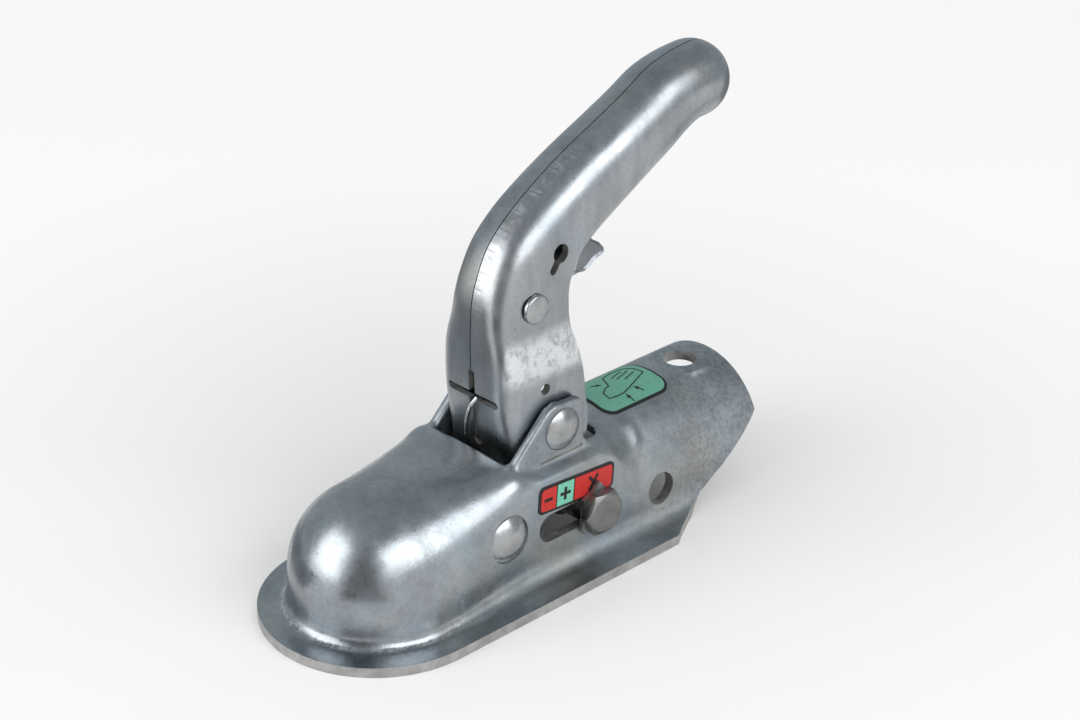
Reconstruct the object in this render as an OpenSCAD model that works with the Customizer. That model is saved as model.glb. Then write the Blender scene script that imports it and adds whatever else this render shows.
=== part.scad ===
/* [Housing] */
// Thickness of the pressed housing sheet
sheet = 4; // [3:0.25:5]
// Radius of the towing ball that the head takes
ball_r = 25; // [24:0.5:26]
// Gap between the ball and the inside of the dome walls
ball_gap = 3; // [2.5:0.25:3.5]
// Height of the ball centre above the base
ball_z = 18; // [16:0.5:20]
// Radius of the drawbar tube that the channel fits
tube_r = 25; // [24:0.5:26]
// Gap between the drawbar tube and the channel
tube_gap = 0.3; // [0.1:0.1:0.8]
// Height of the drawbar tube axis above the base
tube_z = 17.5; // [16:0.5:20]
// Width of the base flange round the foot of the dome
flange_w = 11; // [9:0.5:14]
// Outer radius of the bend from the walls to the flange
foot_r = 7; // [5:0.5:8]
// Distance from the ball centre to the end of the flange
flange_end = 109; // [100:1:116]
// Distance from the ball centre to the rear end of the channel
rear_end = 167; // [160:1:180]
// Height of the raised lip in front of the lever
lip_z = 51; // [50:0.5:52]
// Height of the shoulder beside the lever
shoulder_z = 47; // [46:0.5:48]
// Front edge of the lever well
well_front = 42.6; // [42:0.2:43]
// Rear edge of the lever well
well_rear = 91; // [90:0.5:94]
// Radius of the rear corners of the lever well
well_rear_r = 6; // [3:0.5:6]

/* [Bolt holes] */
// Radius of the cross hole and of the top hole
bolt_hole_r = 6.5; // [5.5:0.25:7]
// Distance from the ball centre to the cross hole
cross_hole_x = 113; // [110:1:118]
// Height of the cross hole
cross_hole_z = 16.5; // [15:0.5:19]
// Distance from the ball centre to the top hole
top_hole_x = 152.4; // [146:0.5:154]
// Radius of the flat pad round the top hole
pad_r = 11.5; // [10:0.5:12.5]

/* [Lever] */
// Distance from the ball centre to the lever pivot
pivot_x = 67; // [66.4:0.2:67.6]
// Height of the lever pivot
pivot_z = 56.8; // [56.4:0.2:57.4]
// Distance between the inner faces of the ears
ear_gap = 38; // [37.6:0.2:39]
// Thickness of the folded lever sheet
lever_sheet = 3; // [2.5:0.25:3.25]
// Half of the lever's width at its foot
lever_half_w = 18.5; // [18:0.1:18.6]
// Half of the lever's width at the lock rivet
lever_waist = 15.6; // [15.2:0.1:16.2]
// Radius of the lever's round end
grip_r = 14.5; // [14:0.1:15]
// Swing of the lever from open to closed
lever_swing = 48; // [44:1:48]
// Radius of the lever pivot pin
lever_pin_r = 6; // [5:0.25:6.5]
// Radius of the lever pivot pin's heads
lever_head_r = 8.1; // [7.5:0.1:9]
// Depth of the seam along the lever's front
seam_depth = 0.5; // [0.3:0.1:0.8]

/* [Lever lock] */
// Distance from the ball centre to the lock rivet
lock_x = 60; // [59.5:0.1:60.5]
// Height of the lock rivet
lock_z = 104; // [103.6:0.2:104.6]
// Radius of the lock rivet's shank
lock_pin_r = 3; // [2.5:0.25:3.5]
// Radius of the lock rivet's heads
lock_head_r = 5.5; // [5:0.25:6]
// Travel of the lever lock when it is squeezed
lock_travel = 8; // [5:1:9]
// Thickness of the lever lock's sheet
lock_sheet = 2; // [1.5:0.25:2.5]
// Distance from the lock rivet to the end of its finger tab
lock_reach = 38.2; // [37:0.2:39]

/* [Ball clamp] */
// Distance from the ball to the middle of the clamp pin
clamp_back = 10; // [9.6:0.1:10.4]
// Height of the clamp pin above the ball centre
clamp_up = 9; // [8.6:0.1:9.4]
// Radius of the clamp pin
clamp_pin_r = 5; // [4.5:0.25:5.25]
// Radius of the clamp pin's heads
clamp_head_r = 9.3; // [8.5:0.1:10]
// Swing of the ball clamp from open to closed
clamp_swing = 16; // [14:1:16]

/* [Slide and pointer] */
// Distance from the ball centre to the slide bolt when the head is open
slide_x = 77.6; // [77:0.1:78]
// Height of the slide bolt
slide_z = 23.2; // [22.8:0.1:23.6]
// Radius of the slide bolt
slide_bolt_r = 5; // [4.5:0.25:5.25]
// Half of the height of the slots in the housing walls
slot_half_h = 5.6; // [5.4:0.1:6]
// Distance across the flats of the slide bolt's head
bolt_af = 16; // [15:0.5:17]
// Distance from the lever pivot to the drive pin
crank_r = 18.4; // [18:0.1:18.8]
// Thickness of the pointer plate
pointer_t = 1.6; // [1.2:0.1:2]
// Radius of the drive pin in the lever's foot
drive_pin_r = 4; // [3.5:0.25:4.25]
// Radius of the wire of the clamp spring
spring_wire_r = 1.1; // [0.9:0.05:1.3]

/* [Labels] */
// Length of the scale label
scale_w = 37.5; // [34:0.5:40]
// Height of the scale label
scale_h = 11; // [9:0.5:12]
// Length of the top label
info_w = 35; // [28:1:35]
// Width of the top label round the channel in degrees
info_arc = 52; // [40:1:56]

/* [Hidden] */
running = 0.05;
fixed = 0.02;
side_gap = 0.3;
film = 0.25;
ink = 0.15;
rivet_seat = 0.2;
dome_r = ball_r + ball_gap + sheet;
flange_r = dome_r + flange_w;
clamp_x = ball_r + clamp_back;
clamp_z = ball_z + clamp_up;
dome_top = ball_z + ball_r + ball_gap + sheet;
chan_r = tube_r + tube_gap + sheet;
chan_top = tube_z + chan_r;
wall_y = chan_r;
wall_in = wall_y - sheet;
ear_in = ear_gap/2;
ear_out = ear_in + sheet;
fold_z = 42;
pad_z = chan_top - 0.6;
lever_in = lever_half_w - lever_sheet;
crank_a = lever_swing/2;
drive_x = pivot_x + crank_r*sin(crank_a);
drive_z = pivot_z - crank_r*cos(crank_a);
slide_travel = 2*crank_r*sin(crank_a);
pointer_y = wall_y + film + 2*ink + side_gap;
head_y = pointer_y + pointer_t;
yoke_out = lever_in - side_gap;
yoke_t = 3;
yoke_in = yoke_out - yoke_t;

// Points of an arc from angle a0 to a1 round the centre c
function arc(c, r, a0, a1, n) =
    [for (i = [0 : n]) c + r*[cos(a0 + (a1 - a0)*i/n), sin(a0 + (a1 - a0)*i/n)]];

// Smooth curve through the rows of a table at the place u
function blend4(a, b, c, d, t) =
    (2*b + (c - a)*t + (2*a - 5*b + 4*c - d)*t*t + (3*b - a - 3*c + d)*t*t*t)/2;
function row_at(rows, u) =
    let (n = len(rows) - 1, i = min(floor(u), n - 1), t = u - i)
    blend4(rows[max(i - 1, 0)], rows[i], rows[i + 1], rows[min(i + 2, n)], t);
function signed_pow(v, e) = sign(v)*pow(abs(v), e);

// Two triangles of a four-cornered patch
function patch(a, b, c, d) = [[a, b, c], [a, c, d]];
function flip(faces) = [for (f = faces) [f[2], f[1], f[0]]];
function join(lists) = [for (l = lists) each l];

// Half width on the way from the side walls to the dome
function between(k) = wall_y + k*(dome_r - wall_y);

// Sections of the housing: place, half width, fold height, top, squareness
housing_rows = [
    [0, dome_r, ball_z, dome_top, 2],
    [8, between(0.92), ball_z + 2, dome_top + 0.5, 2.05],
    [16, between(0.74), ball_z + 5, dome_top + 0.9, 2.15],
    [clamp_x - 10, between(0.48), ball_z + 9, lip_z + 0.2, 2.3],
    [clamp_x - 1, between(0.26), ball_z + 13, lip_z + 0.1, 2.45],
    [well_front + 1, between(0.04), fold_z - 7, lip_z, 2.6],
    [well_front + 6, wall_y, fold_z - 1, lip_z - 1.8, 2.4],
    [well_front + 11, wall_y, fold_z, shoulder_z + 0.4, 2.2],
    [78, wall_y, fold_z, shoulder_z, 2.2],
    [86, wall_y, fold_z - 2, chan_top, 2.3],
    [94, wall_y, fold_z - 14, chan_top, 2.1],
    [101, chan_r, tube_z, chan_top, 2],
    [rear_end, chan_r, tube_z, chan_top, 2]];
foot_steps = 4;
crown_steps = 9;
nose_steps = 14;

// Outer and inner half sections, from the flange edge to the crown
function foot(a, r) = arc([a + foot_r, sheet + foot_r], r, 270, 180, foot_steps);
function crown(a, z0, b, n) =
    [for (i = [0 : crown_steps]) let (t = 90*i/crown_steps)
        [a*signed_pow(cos(t), 2/n), z0 + b*signed_pow(sin(t), 2/n)]];
function outer_half(s) = concat([[flange_r, 0], [flange_r, sheet]],
    foot(s[1], foot_r), crown(s[1], s[2], s[3] - s[2], s[4]));
function inner_half(s) = concat(foot(s[1], foot_r + sheet),
    crown(s[1] - sheet, s[2], s[3] - s[2] - sheet, s[4]));

// Stations from the rear end on the near side, round the nose and back
body_stations = [for (i = [len(housing_rows) - 1 : -1 : 0]) housing_rows[i]];
bodies_n = len(body_stations);
function half_at(k, s, inner) =
    let (h = inner ? inner_half(s) : outer_half(s), a = 180*k/nose_steps)
    [for (p = h) [-p[0]*sin(a), -p[0]*cos(a), p[1]]];
function side_at(s, way, inner) =
    let (h = inner ? inner_half(s) : outer_half(s))
    [for (p = h) [s[0], way*p[0], p[1]]];
function housing_rings(inner) = concat(
    [for (s = body_stations) side_at(s, -1, inner)],
    [for (k = [1 : nose_steps - 1]) half_at(k, housing_rows[0], inner)],
    [for (i = [bodies_n - 1 : -1 : 0]) side_at(body_stations[i], 1, inner)]);

// The pressed shell as one closed skin of outer and inner rings
module housing_shell() {
    outer = housing_rings(false);
    inner = housing_rings(true);
    rings = len(outer);
    no = len(outer[0]);
    ni = len(inner[0]);
    total = no + ni;
    // The crown points of the two sides are the same points
    function twin(k) = let (m = min(k, rings - 1 - k)) min(m, bodies_n - 1);
    function o(k, j) = (j == no - 1 ? twin(k) : k)*total + j;
    function q(k, j) = (j == ni - 1 ? twin(k) : k)*total + no + j;
    points = join([for (k = [0 : rings - 1]) concat(outer[k], inner[k])]);
    function solid_patch(a, b, c, d) =
        [for (f = patch(a, b, c, d))
            if (f[0] != f[1] && f[1] != f[2] && f[0] != f[2]) f];
    skin = join([for (k = [0 : rings - 2]) join(concat(
        [for (j = [0 : no - 2])
            solid_patch(o(k, j), o(k, j + 1), o(k + 1, j + 1), o(k + 1, j))],
        [for (j = [0 : ni - 2])
            solid_patch(q(k + 1, j), q(k + 1, j + 1), q(k, j + 1), q(k, j))],
        [patch(q(k, 0), o(k, 0), o(k + 1, 0), q(k + 1, 0))]))]);
    function cap(k) = concat(
        patch(o(k, 0), q(k, 0), o(k, 2), o(k, 1)),
        join([for (j = [0 : ni - 2])
            patch(o(k, j + 2), q(k, j), q(k, j + 1), o(k, j + 3))]));
    polyhedron(points, concat(flip(skin), flip(cap(0)), cap(rings - 1)), convexity = 6);
}

// Outline of one ear, seen from the side
ear_top = pivot_z + 10.4;
ear_rear = pivot_x + 11.3;
ear_outline = concat(
    [[well_front + 0.5, shoulder_z - 3], [well_front + 1.6, lip_z - 0.6]],
    arc([pivot_x - 1.9, ear_top - 9.2], 9.2, 140, 95, 4),
    arc([ear_rear - 4, ear_top - 4.8], 4, 80, 0, 4),
    arc([ear_rear + 5, shoulder_z + 4], 5, 180, 262, 4),
    [[ear_rear + 6, shoulder_z - 3]]);

module ear(way) {
    translate([0, way > 0 ? ear_out : -ear_in, 0])
        rotate([90, 0, 0])
        linear_extrude(sheet)
        difference() {
            polygon(ear_outline);
            translate([pivot_x, pivot_z])
                circle(lever_pin_r + running, $fn = 48);
        }
}

// The lever well, open from above, with rounded corners
well_corner_r = 3;
well_outline = concat(
    arc([well_front + well_corner_r, well_corner_r - ear_in], well_corner_r, 180, 270, 6),
    arc([well_rear - well_rear_r, well_rear_r - ear_in], well_rear_r, 270, 360, 8),
    arc([well_rear - well_rear_r, ear_in - well_rear_r], well_rear_r, 0, 90, 8),
    arc([well_front + well_corner_r, ear_in - well_corner_r], well_corner_r, 90, 180, 6));
module well_cut() {
    translate([0, 0, shoulder_z - 8])
        linear_extrude(30)
        polygon(well_outline);
}

// Long holes in both walls, where the slide bolt runs
slot_front = slide_x - slide_travel - slide_bolt_r - 1.7;
slot_rear = slide_x + slide_bolt_r + 1;
module side_slots() {
    rotate([90, 0, 0])
        linear_extrude(2*wall_y + 10, center = true)
        union() {
            for (x = [slot_front + slot_half_h, slot_rear - slot_half_h])
                translate([x, slide_z])
                    circle(slot_half_h, $fn = 48);
            translate([slot_front + slot_half_h, slide_z - slot_half_h])
                square([slot_rear - slot_front - 2*slot_half_h, 2*slot_half_h]);
        }
}

module cross_bore(x, z, r) {
    translate([x, 0, z])
        rotate([90, 0, 0])
        cylinder(r = r, h = 2*flange_r, center = true, $fn = 64);
}

// Oblique ends of the flange and the slanted lower edge of the channel
trim_outline = [[rear_end - 43, -5], [rear_end - 38, 3], [rear_end - 33, 7],
    [rear_end - 27, 9.8], [rear_end - 20, 13.4], [rear_end - 2, 27.4],
    [rear_end + 3, 32], [rear_end + 3, -5]];
module rear_trim() {
    rotate([90, 0, 0])
        linear_extrude(2*flange_r + 2, center = true)
        polygon(trim_outline);
    for (y = [-1, 1])
        translate([0, 0, -1])
        linear_extrude(sheet + foot_r + 2)
        polygon([[flange_end, y*(flange_r + 1)], [flange_end, y*flange_r],
            [flange_end + 6, y*(wall_y + 9.9)], [flange_end + 13, y*(wall_y + 6)],
            [flange_end + 19, y*(wall_y + 3)], [flange_end + 25, y*(wall_y + 0.8)],
            [rear_end + 2, y*(wall_y + 0.3)], [rear_end + 2, y*(flange_r + 1)]]);
}

module housing() {
    color("lightsteelblue")
        difference() {
            union() {
                difference() {
                    housing_shell();
                    well_cut();
                }
                for (way = [-1, 1])
                    ear(way);
                translate([top_hole_x, 0, pad_z - sheet])
                    cylinder(r = pad_r, h = sheet, $fn = 64);
            }
            translate([top_hole_x, 0, pad_z])
                cylinder(r = pad_r, h = 3, $fn = 64);
            translate([top_hole_x, 0, pad_z - 9])
                cylinder(r = bolt_hole_r, h = 12, $fn = 64);
            cross_bore(cross_hole_x, cross_hole_z, bolt_hole_r);
            cross_bore(clamp_x, clamp_z, clamp_pin_r + fixed);
            for (way = [-1, 1])
                translate([clamp_x, way*(wall_y + rivet_seat + 5), clamp_z])
                    rotate([90, 0, 0])
                    cylinder(r = clamp_head_r + 0.7, h = 10, center = true, $fn = 48);
            side_slots();
            rear_trim();
        }
}

// Sections of the lever: front point, back point, half width, squareness
foot_w = lever_half_w;
waist = lever_waist;
tip_z = 175.6;
lever_rows = [
    [50, 31, 90, 30, foot_w, 6],
    [47.6, 50, 92, 45, foot_w, 6],
    [45, 66, 92, 60, foot_w, 6],
    [44.1, 80, 90, 74, foot_w, 5.5],
    [43.8, 90, 88, 83, foot_w - 0.4, 5],
    [44, 98, 86, 90, waist + 0.6, 4],
    [44.6, 106, 85, 97, waist, 3.4],
    [47, 114.5, 85, 103, waist, 3],
    [52.3, 125, 87, 108, waist, 2.7],
    [62.5, 134.8, 89, 113, waist - 0.3, 2.6],
    [76, 143.8, 94.5, 117.5, waist - 0.6, 2.5],
    [90.1, 151.6, 105, 123.5, waist - 0.8, 2.4],
    [104, 158, 119, 131.5, waist - 1, 2.4],
    [117.9, 164.9, 133, 139, grip_r, 2.3],
    [129, 171, 140.5, 143.5, grip_r, 2.2],
    [140.5, 174.2, 147, tip_z - 2*grip_r - 0.2, grip_r, 2.1],
    [151, tip_z, 152, tip_z - 2*grip_r, grip_r, 2]];
rings_per_row = 2;
ring_points = 32;
cap_rings = 6;
seam_half = 0.4;

// One ring of the lever: shrink moves the skin inwards by the sheet
function lever_ring(s, shrink, ahead) =
    let (f = [s[0], s[1]], b = [s[2], s[3]], m = (f + b)/2,
        d = norm(f - b)/2, n = (f - b)/(2*d), along = [n[1], -n[0]],
        k = cos(ahead), lift = (d - shrink)*sin(ahead),
        depth = (d - shrink)*k, half = (s[4] - shrink)*k)
    [for (i = [0 : ring_points - 1])
        let (a = 360*i/ring_points, e = 2/s[5],
            notch = (i == 0 && shrink == 0 && ahead < 60) ? seam_depth : 0,
            beside = (i == 1 || i == ring_points - 1) && shrink == 0 && ahead < 60,
            y = beside ? sign(sin(a))*seam_half : half*signed_pow(sin(a), e),
            v = beside ? depth : depth*signed_pow(cos(a), e) - notch,
            c = m + n*v + along*lift)
        [c[0], y, c[1]]];
lever_last = len(lever_rows) - 1;
lever_stations = concat(
    [for (u = [0 : 1/rings_per_row : lever_last]) [row_at(lever_rows, u), 0]],
    [for (i = [1 : cap_rings - 1]) [lever_rows[lever_last], 90*i/cap_rings]]);
function lever_tip(shrink) =
    let (s = lever_rows[lever_last], f = [s[0], s[1]], b = [s[2], s[3]],
        d = norm(f - b)/2, n = (f - b)/(2*d), c = (f + b)/2 + [n[1], -n[0]]*(d - shrink))
    [c[0], 0, c[1]];

module lever_shell() {
    rings = len(lever_stations);
    np = ring_points;
    points = concat(
        join([for (st = lever_stations) lever_ring(st[0], 0, st[1])]),
        join([for (st = lever_stations) lever_ring(st[0], lever_sheet, st[1])]),
        [lever_tip(0), lever_tip(lever_sheet)]);
    function o(k, j) = k*np + j % np;
    function q(k, j) = (rings + k)*np + j % np;
    tip_o = 2*rings*np;
    tip_i = tip_o + 1;
    faces = concat(
        join([for (k = [0 : rings - 2], j = [0 : np - 1])
            concat(patch(o(k, j), o(k + 1, j), o(k + 1, j + 1), o(k, j + 1)),
                patch(q(k, j + 1), q(k + 1, j + 1), q(k + 1, j), q(k, j)))]),
        join([for (j = [0 : np - 1])
            concat([[o(rings - 1, j), tip_o, o(rings - 1, j + 1)],
                [q(rings - 1, j + 1), tip_i, q(rings - 1, j)]],
                patch(o(0, j), o(0, j + 1), q(0, j + 1), q(0, j)))]));
    polyhedron(points, flip(faces), convexity = 8);
}

// Everything outside the side outline of the lever's foot
foot_rim = 7;
lever_foot_outline = concat(
    [[30, 20], [30, 44.5], [50, 44.5], [52, 42.8], [62, 38.6]],
    arc([drive_x, drive_z], foot_rim, 215, 350, 8),
    [[pivot_x + 17.4, 50], [pivot_x + 17.6, 56], [pivot_x + 16.2, 62],
        [pivot_x + 15.3, 70], [pivot_x + 13.7, 80], [pivot_x + 11.2, 90],
        [lock_x + 17.4, lock_z - 8], [lock_x + 17.7, lock_z], [lock_x + 18.4, lock_z + 4],
        [lock_x + 19.7, lock_z + 7.4], [100, lock_z + 3], [120, 90], [120, 20]]);

module lever_cross_bore(x, z, r) {
    translate([x, 0, z])
        rotate([90, 0, 0])
        cylinder(r = r, h = 60, center = true, $fn = 48);
}

// Cross-shaped slot and slit in the lever's front wall
cross_slot_z = 69.4;
cross_half_w = 12.8;
module front_slots() {
    translate([40, 0, cross_slot_z])
        rotate([90, 0, 90])
        linear_extrude(12)
        union() {
            for (y = [-1, 1])
                translate([y*(cross_half_w - 1.2), 0])
                    circle(1.2, $fn = 24);
            translate([-cross_half_w + 1.2, -1.2])
                square([2*(cross_half_w - 1.2), 2.4]);
            translate([-1.4, -4])
                square([2.8, 14]);
            translate([-0.6, -19])
                square([1.2, 20]);
            translate([0, -19])
                circle(2, $fn = 24);
        }
}

// Upper end of the opening for the lock's finger tab
lock_window_x = 106;

// Keyhole for a lock through both sides
key_x = 72.5;
key_z = 121;
key_r = 3.6;
module keyhole() {
    rotate([90, 0, 0])
        linear_extrude(60, center = true)
        union() {
            translate([key_x, key_z])
                circle(key_r, $fn = 32);
            translate([key_x, key_z])
                rotate(-124)
                translate([0, -1.2])
                square([8.2, 2.4]);
        }
}

module lever() {
    color("silver")
        difference() {
            lever_shell();
            rotate([90, 0, 0])
                linear_extrude(60, center = true)
                polygon(lever_foot_outline);
            translate([75, -lock_half_w - side_gap, 100])
                cube([lock_window_x - 75, 2*(lock_half_w + side_gap), 29]);
            front_slots();
            keyhole();
            lever_cross_bore(pivot_x, pivot_z, lever_pin_r + running);
            lever_cross_bore(drive_x, drive_z, drive_pin_r + fixed);
            lever_cross_bore(lock_x, lock_z, lock_pin_r + fixed);
            lever_cross_bore(62.8, 72.4, 2.2);
        }
}

// A rivet along Y with a domed head at each end
module rivet(r, head_r, head_h, half_len) {
    cap_r = (head_r*head_r + head_h*head_h)/(2*head_h);
    rotate([90, 0, 0])
        union() {
            cylinder(r = r, h = 2*half_len, center = true, $fn = 48);
            for (way = [0, 1])
                mirror([0, 0, way])
                translate([0, 0, half_len])
                intersection() {
                    translate([0, 0, head_h - cap_r])
                        sphere(cap_r, $fn = 64);
                    cylinder(r = head_r, h = head_h + 1, $fn = 64);
                }
        }
}

module lever_pin() {
    color("gainsboro")
        translate([pivot_x, 0, pivot_z])
        rivet(lever_pin_r, lever_head_r, 3.4, ear_out);
}

module tube_y(r_out, r_in, y0, y1) {
    translate([0, y1, 0])
        rotate([90, 0, 0])
        difference() {
            cylinder(r = r_out, h = y1 - y0, $fn = 48);
            translate([0, 0, -1])
                cylinder(r = r_in, h = y1 - y0 + 2, $fn = 48);
        }
}

module lever_bush() {
    color("darkgray")
        translate([pivot_x, 0, pivot_z])
        tube_y(lever_pin_r + 3, lever_pin_r + running, side_gap - lever_in,
            lever_in - side_gap);
}

// The lever lock: a pressed channel with a finger tab, hinged on its rivet
lock_half_w = 9;
lock_hub = 5.5;
lock_nose = [lock_x + lock_reach, lock_z + 7.8];
lock_nose_r = 2;
lock_low = [for (v = [[13, -4.5], [19, -0.6], [23.5, 2], [27.5, 2.7], [30.5, 2.3],
    [33, 3.1], [35.3, 5]]) [lock_x + v[0], lock_z + v[1]]];
lock_side = concat(
    arc([lock_x, lock_z], lock_hub, 60, 250, 8),
    lock_low,
    arc(lock_nose, lock_nose_r, -100, 20, 3),
    [for (v = [[37.6, 11.4], [34.5, 13.3], [33, 14.8], [24, 9.5], [16, 6.5]])
        [lock_x + v[0], lock_z + v[1]]]);
lock_rim = concat(lock_low,
    arc(lock_nose, lock_nose_r, -100, 90, 4),
    [for (i = [len(lock_low) - 2 : -1 : 0]) lock_low[i] + [-0.5, lock_sheet]]);
module lever_lock() {
    color("lightslategray")
        difference() {
            union() {
                for (y = [-1, 1])
                    translate([0, y*(lock_half_w - lock_sheet/2), 0])
                    rotate([90, 0, 0])
                    linear_extrude(lock_sheet, center = true)
                    polygon(lock_side);
                rotate([90, 0, 0])
                    linear_extrude(2*lock_half_w - 1, center = true)
                    polygon(lock_rim);
            }
            lever_cross_bore(lock_x, lock_z, lock_pin_r + running);
        }
}

module lever_lock_pin() {
    color("gainsboro")
        translate([lock_x, 0, lock_z])
        rivet(lock_pin_r, lock_head_r, 2.4, waist + 0.1);
}

// A closed tube of round wire swept along points
function unit(v) = v/norm(v);
module wire(path, r, sides) {
    n = len(path);
    function tangent(i) = unit(path[min(i + 1, n - 1)] - path[max(i - 1, 0)]);
    function ring(i) =
        let (t = tangent(i), a = abs(t[1]) > 0.9 ? [0, 0, 1] : [0, 1, 0],
            u = unit(cross(a, t)), v = cross(t, u))
        [for (k = [0 : sides - 1]) path[i] + r*(cos(360*k/sides)*u + sin(360*k/sides)*v)];
    points = join([for (i = [0 : n - 1]) ring(i)]);
    function p(i, k) = i*sides + k % sides;
    faces = concat(
        join([for (i = [0 : n - 2], k = [0 : sides - 1])
            patch(p(i, k), p(i, k + 1), p(i + 1, k + 1), p(i + 1, k))]),
        [for (k = [1 : sides - 2]) [0, k + 1, k]],
        [for (k = [1 : sides - 2]) [p(n - 1, 0), p(n - 1, k), p(n - 1, k + 1)]]);
    polyhedron(points, flip(faces), convexity = 10);
}

// Torsion spring round the lock rivet, with a leg to each side
lock_coil_r = lock_pin_r + 1.6;
lock_wire_r = 0.6;
lock_turns = 3;
lock_spring_path = concat(
    [[lock_x - 12, -3, lock_z + 2.2]],
    [for (i = [0 : 12*lock_turns])
        let (a = 90 + 30*i)
        [lock_x + lock_coil_r*cos(a), -3 + 1.4*i/12*1.15, lock_z + lock_coil_r*sin(a)]],
    [[lock_x + 13, -3 + 1.4*lock_turns*1.15, lock_z + lock_coil_r - 1]]);
module lever_lock_spring() {
    color("dimgray")
        wire(lock_spring_path, lock_wire_r, 8);
}

// Spring wire that hooks through the cross slot and hangs in front
catch_r = 0.75;
catch_path = [[50, -2.2, 69], [47.2, -2.6, 69.4], [44.6, -2.4, 69.3], [42.9, -1.2, 66.5],
    [43.1, 0.4, 62.5], [43.7, 2.2, 58], [44.6, 3.4, 54], [45.2, 3.6, 50.5],
    [46.2, 3.2, 47.4]];
module catch_wire() {
    color("silver")
        wire(catch_path, catch_r, 8);
}

module pin_y(r, half_len) {
    rotate([90, 0, 0])
        cylinder(r = r, h = 2*half_len, center = true, $fn = 48);
}

module drive_pin() {
    color("darkgray")
        translate([drive_x, 0, drive_z])
        pin_y(drive_pin_r, lever_half_w - 0.1);
}

// The ball clamp is drawn closed on the ball, then swung open
jaw_half_w = 20;
jaw_boss = 9;
jaw_back = ball_r + 5;
cheek_t = 4;
heel = [clamp_x + 17.3, clamp_z - 13.8];
heel_r = 5.5;
module jaw_pad_outline() {
    union() {
        translate([clamp_x, clamp_z])
            circle(jaw_boss, $fn = 48);
        polygon(concat(arc([0, ball_z], jaw_back, -28, 12, 8),
            arc([0, ball_z], ball_r - 4, 12, -28, 2)));
    }
}
module jaw_cheek_outline() {
    union() {
        jaw_pad_outline();
        translate(heel)
            circle(heel_r, $fn = 48);
        polygon([[clamp_x + 2, clamp_z + 8.7], [clamp_x - 8, clamp_z - 16],
            [heel[0] - 2, heel[1] - 5.1], [heel[0] + 2.2, heel[1] + 5]]);
    }
}
module jaw_closed() {
    difference() {
        union() {
            rotate([90, 0, 0])
                linear_extrude(2*(jaw_half_w - cheek_t) + 1, center = true)
                jaw_pad_outline();
            for (y = [-1, 1])
                translate([0, y*(jaw_half_w - cheek_t/2), 0])
                rotate([90, 0, 0])
                linear_extrude(cheek_t, center = true)
                jaw_cheek_outline();
        }
        translate([0, 0, ball_z])
            sphere(ball_r + 0.2, $fn = 96);
        translate([clamp_x, 0, clamp_z])
            pin_y(clamp_pin_r + running, jaw_half_w + 1);
    }
}
module clamp_jaw() {
    color("slategray")
        translate([clamp_x, 0, clamp_z])
        rotate([0, -clamp_swing, 0])
        translate([-clamp_x, 0, -clamp_z])
        jaw_closed();
}

module clamp_pin() {
    color("gainsboro")
        translate([clamp_x, 0, clamp_z])
        rivet(clamp_pin_r, clamp_head_r, 4.2, wall_y + rivet_seat);
}

// Each spacer fits between the jaw and the wall, also beside a narrow dome
spacer_r = 8;
clamp_wall = wall_in - max(0, wall_y - dome_r)*0.6;
module clamp_spacer(way) {
    color("darkgray")
        translate([clamp_x, way > 0 ? jaw_half_w + running : -clamp_wall, clamp_z])
        tube_y(spacer_r, clamp_pin_r + fixed, 0, clamp_wall - jaw_half_w - running);
}
module clamp_spacer_near() {
    clamp_spacer(-1);
}
module clamp_spacer_far() {
    clamp_spacer(1);
}

// Compression spring between the ball clamp and the slide
sleeve_r = 8;
seat_x = slide_x - sleeve_r;
seat_flange = 2.2;
coil_r = 6.4;
coil_turns = 6;
coil_front = clamp_x + jaw_boss + spring_wire_r + 0.15;
coil_rear = seat_x - seat_flange - spring_wire_r - 0.1;
coil_steps = 14;
module clamp_spring() {
    color("dimgray")
        wire([for (i = [0 : coil_turns*coil_steps])
            let (a = 360*i/coil_steps, u = i/(coil_turns*coil_steps),
                s = u < 1/coil_turns ? 0 : u > 1 - 1/coil_turns ? 1
                    : (u*coil_turns - 1)/(coil_turns - 2))
            [coil_front + 2.2*spring_wire_r*min(u*coil_turns, 1)
                + (coil_rear - coil_front - 4.4*spring_wire_r)*s
                + 2.2*spring_wire_r*max(u*coil_turns - coil_turns + 1, 0),
                coil_r*cos(a), slide_z + coil_r*sin(a)]], spring_wire_r, 8);
}

module spring_seat() {
    color("darkgray")
        translate([seat_x, 0, slide_z])
        rotate([0, -90, 0])
        difference() {
            union() {
                translate([0, 0, -1])
                    cylinder(r = coil_r + 2.2, h = seat_flange + 1, $fn = 48);
                cylinder(r = coil_r - spring_wire_r - 0.4, h = 9, $fn = 48);
            }
            translate([0, 0, -sleeve_r])
                rotate([90, 0, 0])
                cylinder(r = sleeve_r + 0.02, h = 40, center = true, $fn = 48);
        }
}

// Shoulder bolt of the slide, with a hexagon head on the near side
bolt_head_h = 4.4;
nut_h = 8;
washer_t = 1.6;
washer_y = wall_y + side_gap;
bolt_end = washer_y + washer_t + nut_h + 2.5;
hex_chamfer = 1.4;
module hex_solid(h) {
    across = bolt_af/cos(30)/2;
    intersection() {
        cylinder(r = across, h = h, $fn = 6);
        rotate_extrude($fn = 48)
            polygon([[0, 0], [across + 1, 0], [across + 1, h - hex_chamfer - 0.6],
                [bolt_af/2 - 0.8, h], [0, h]]);
    }
}
module slide_bolt() {
    color("silver")
        translate([slide_x, 0, slide_z])
        rotate([90, 0, 0])
        union() {
            translate([0, 0, head_y])
                hex_solid(bolt_head_h);
            translate([0, 0, -bolt_end])
                cylinder(r = slide_bolt_r, h = bolt_end + head_y + 1, $fn = 48);
        }
}

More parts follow.
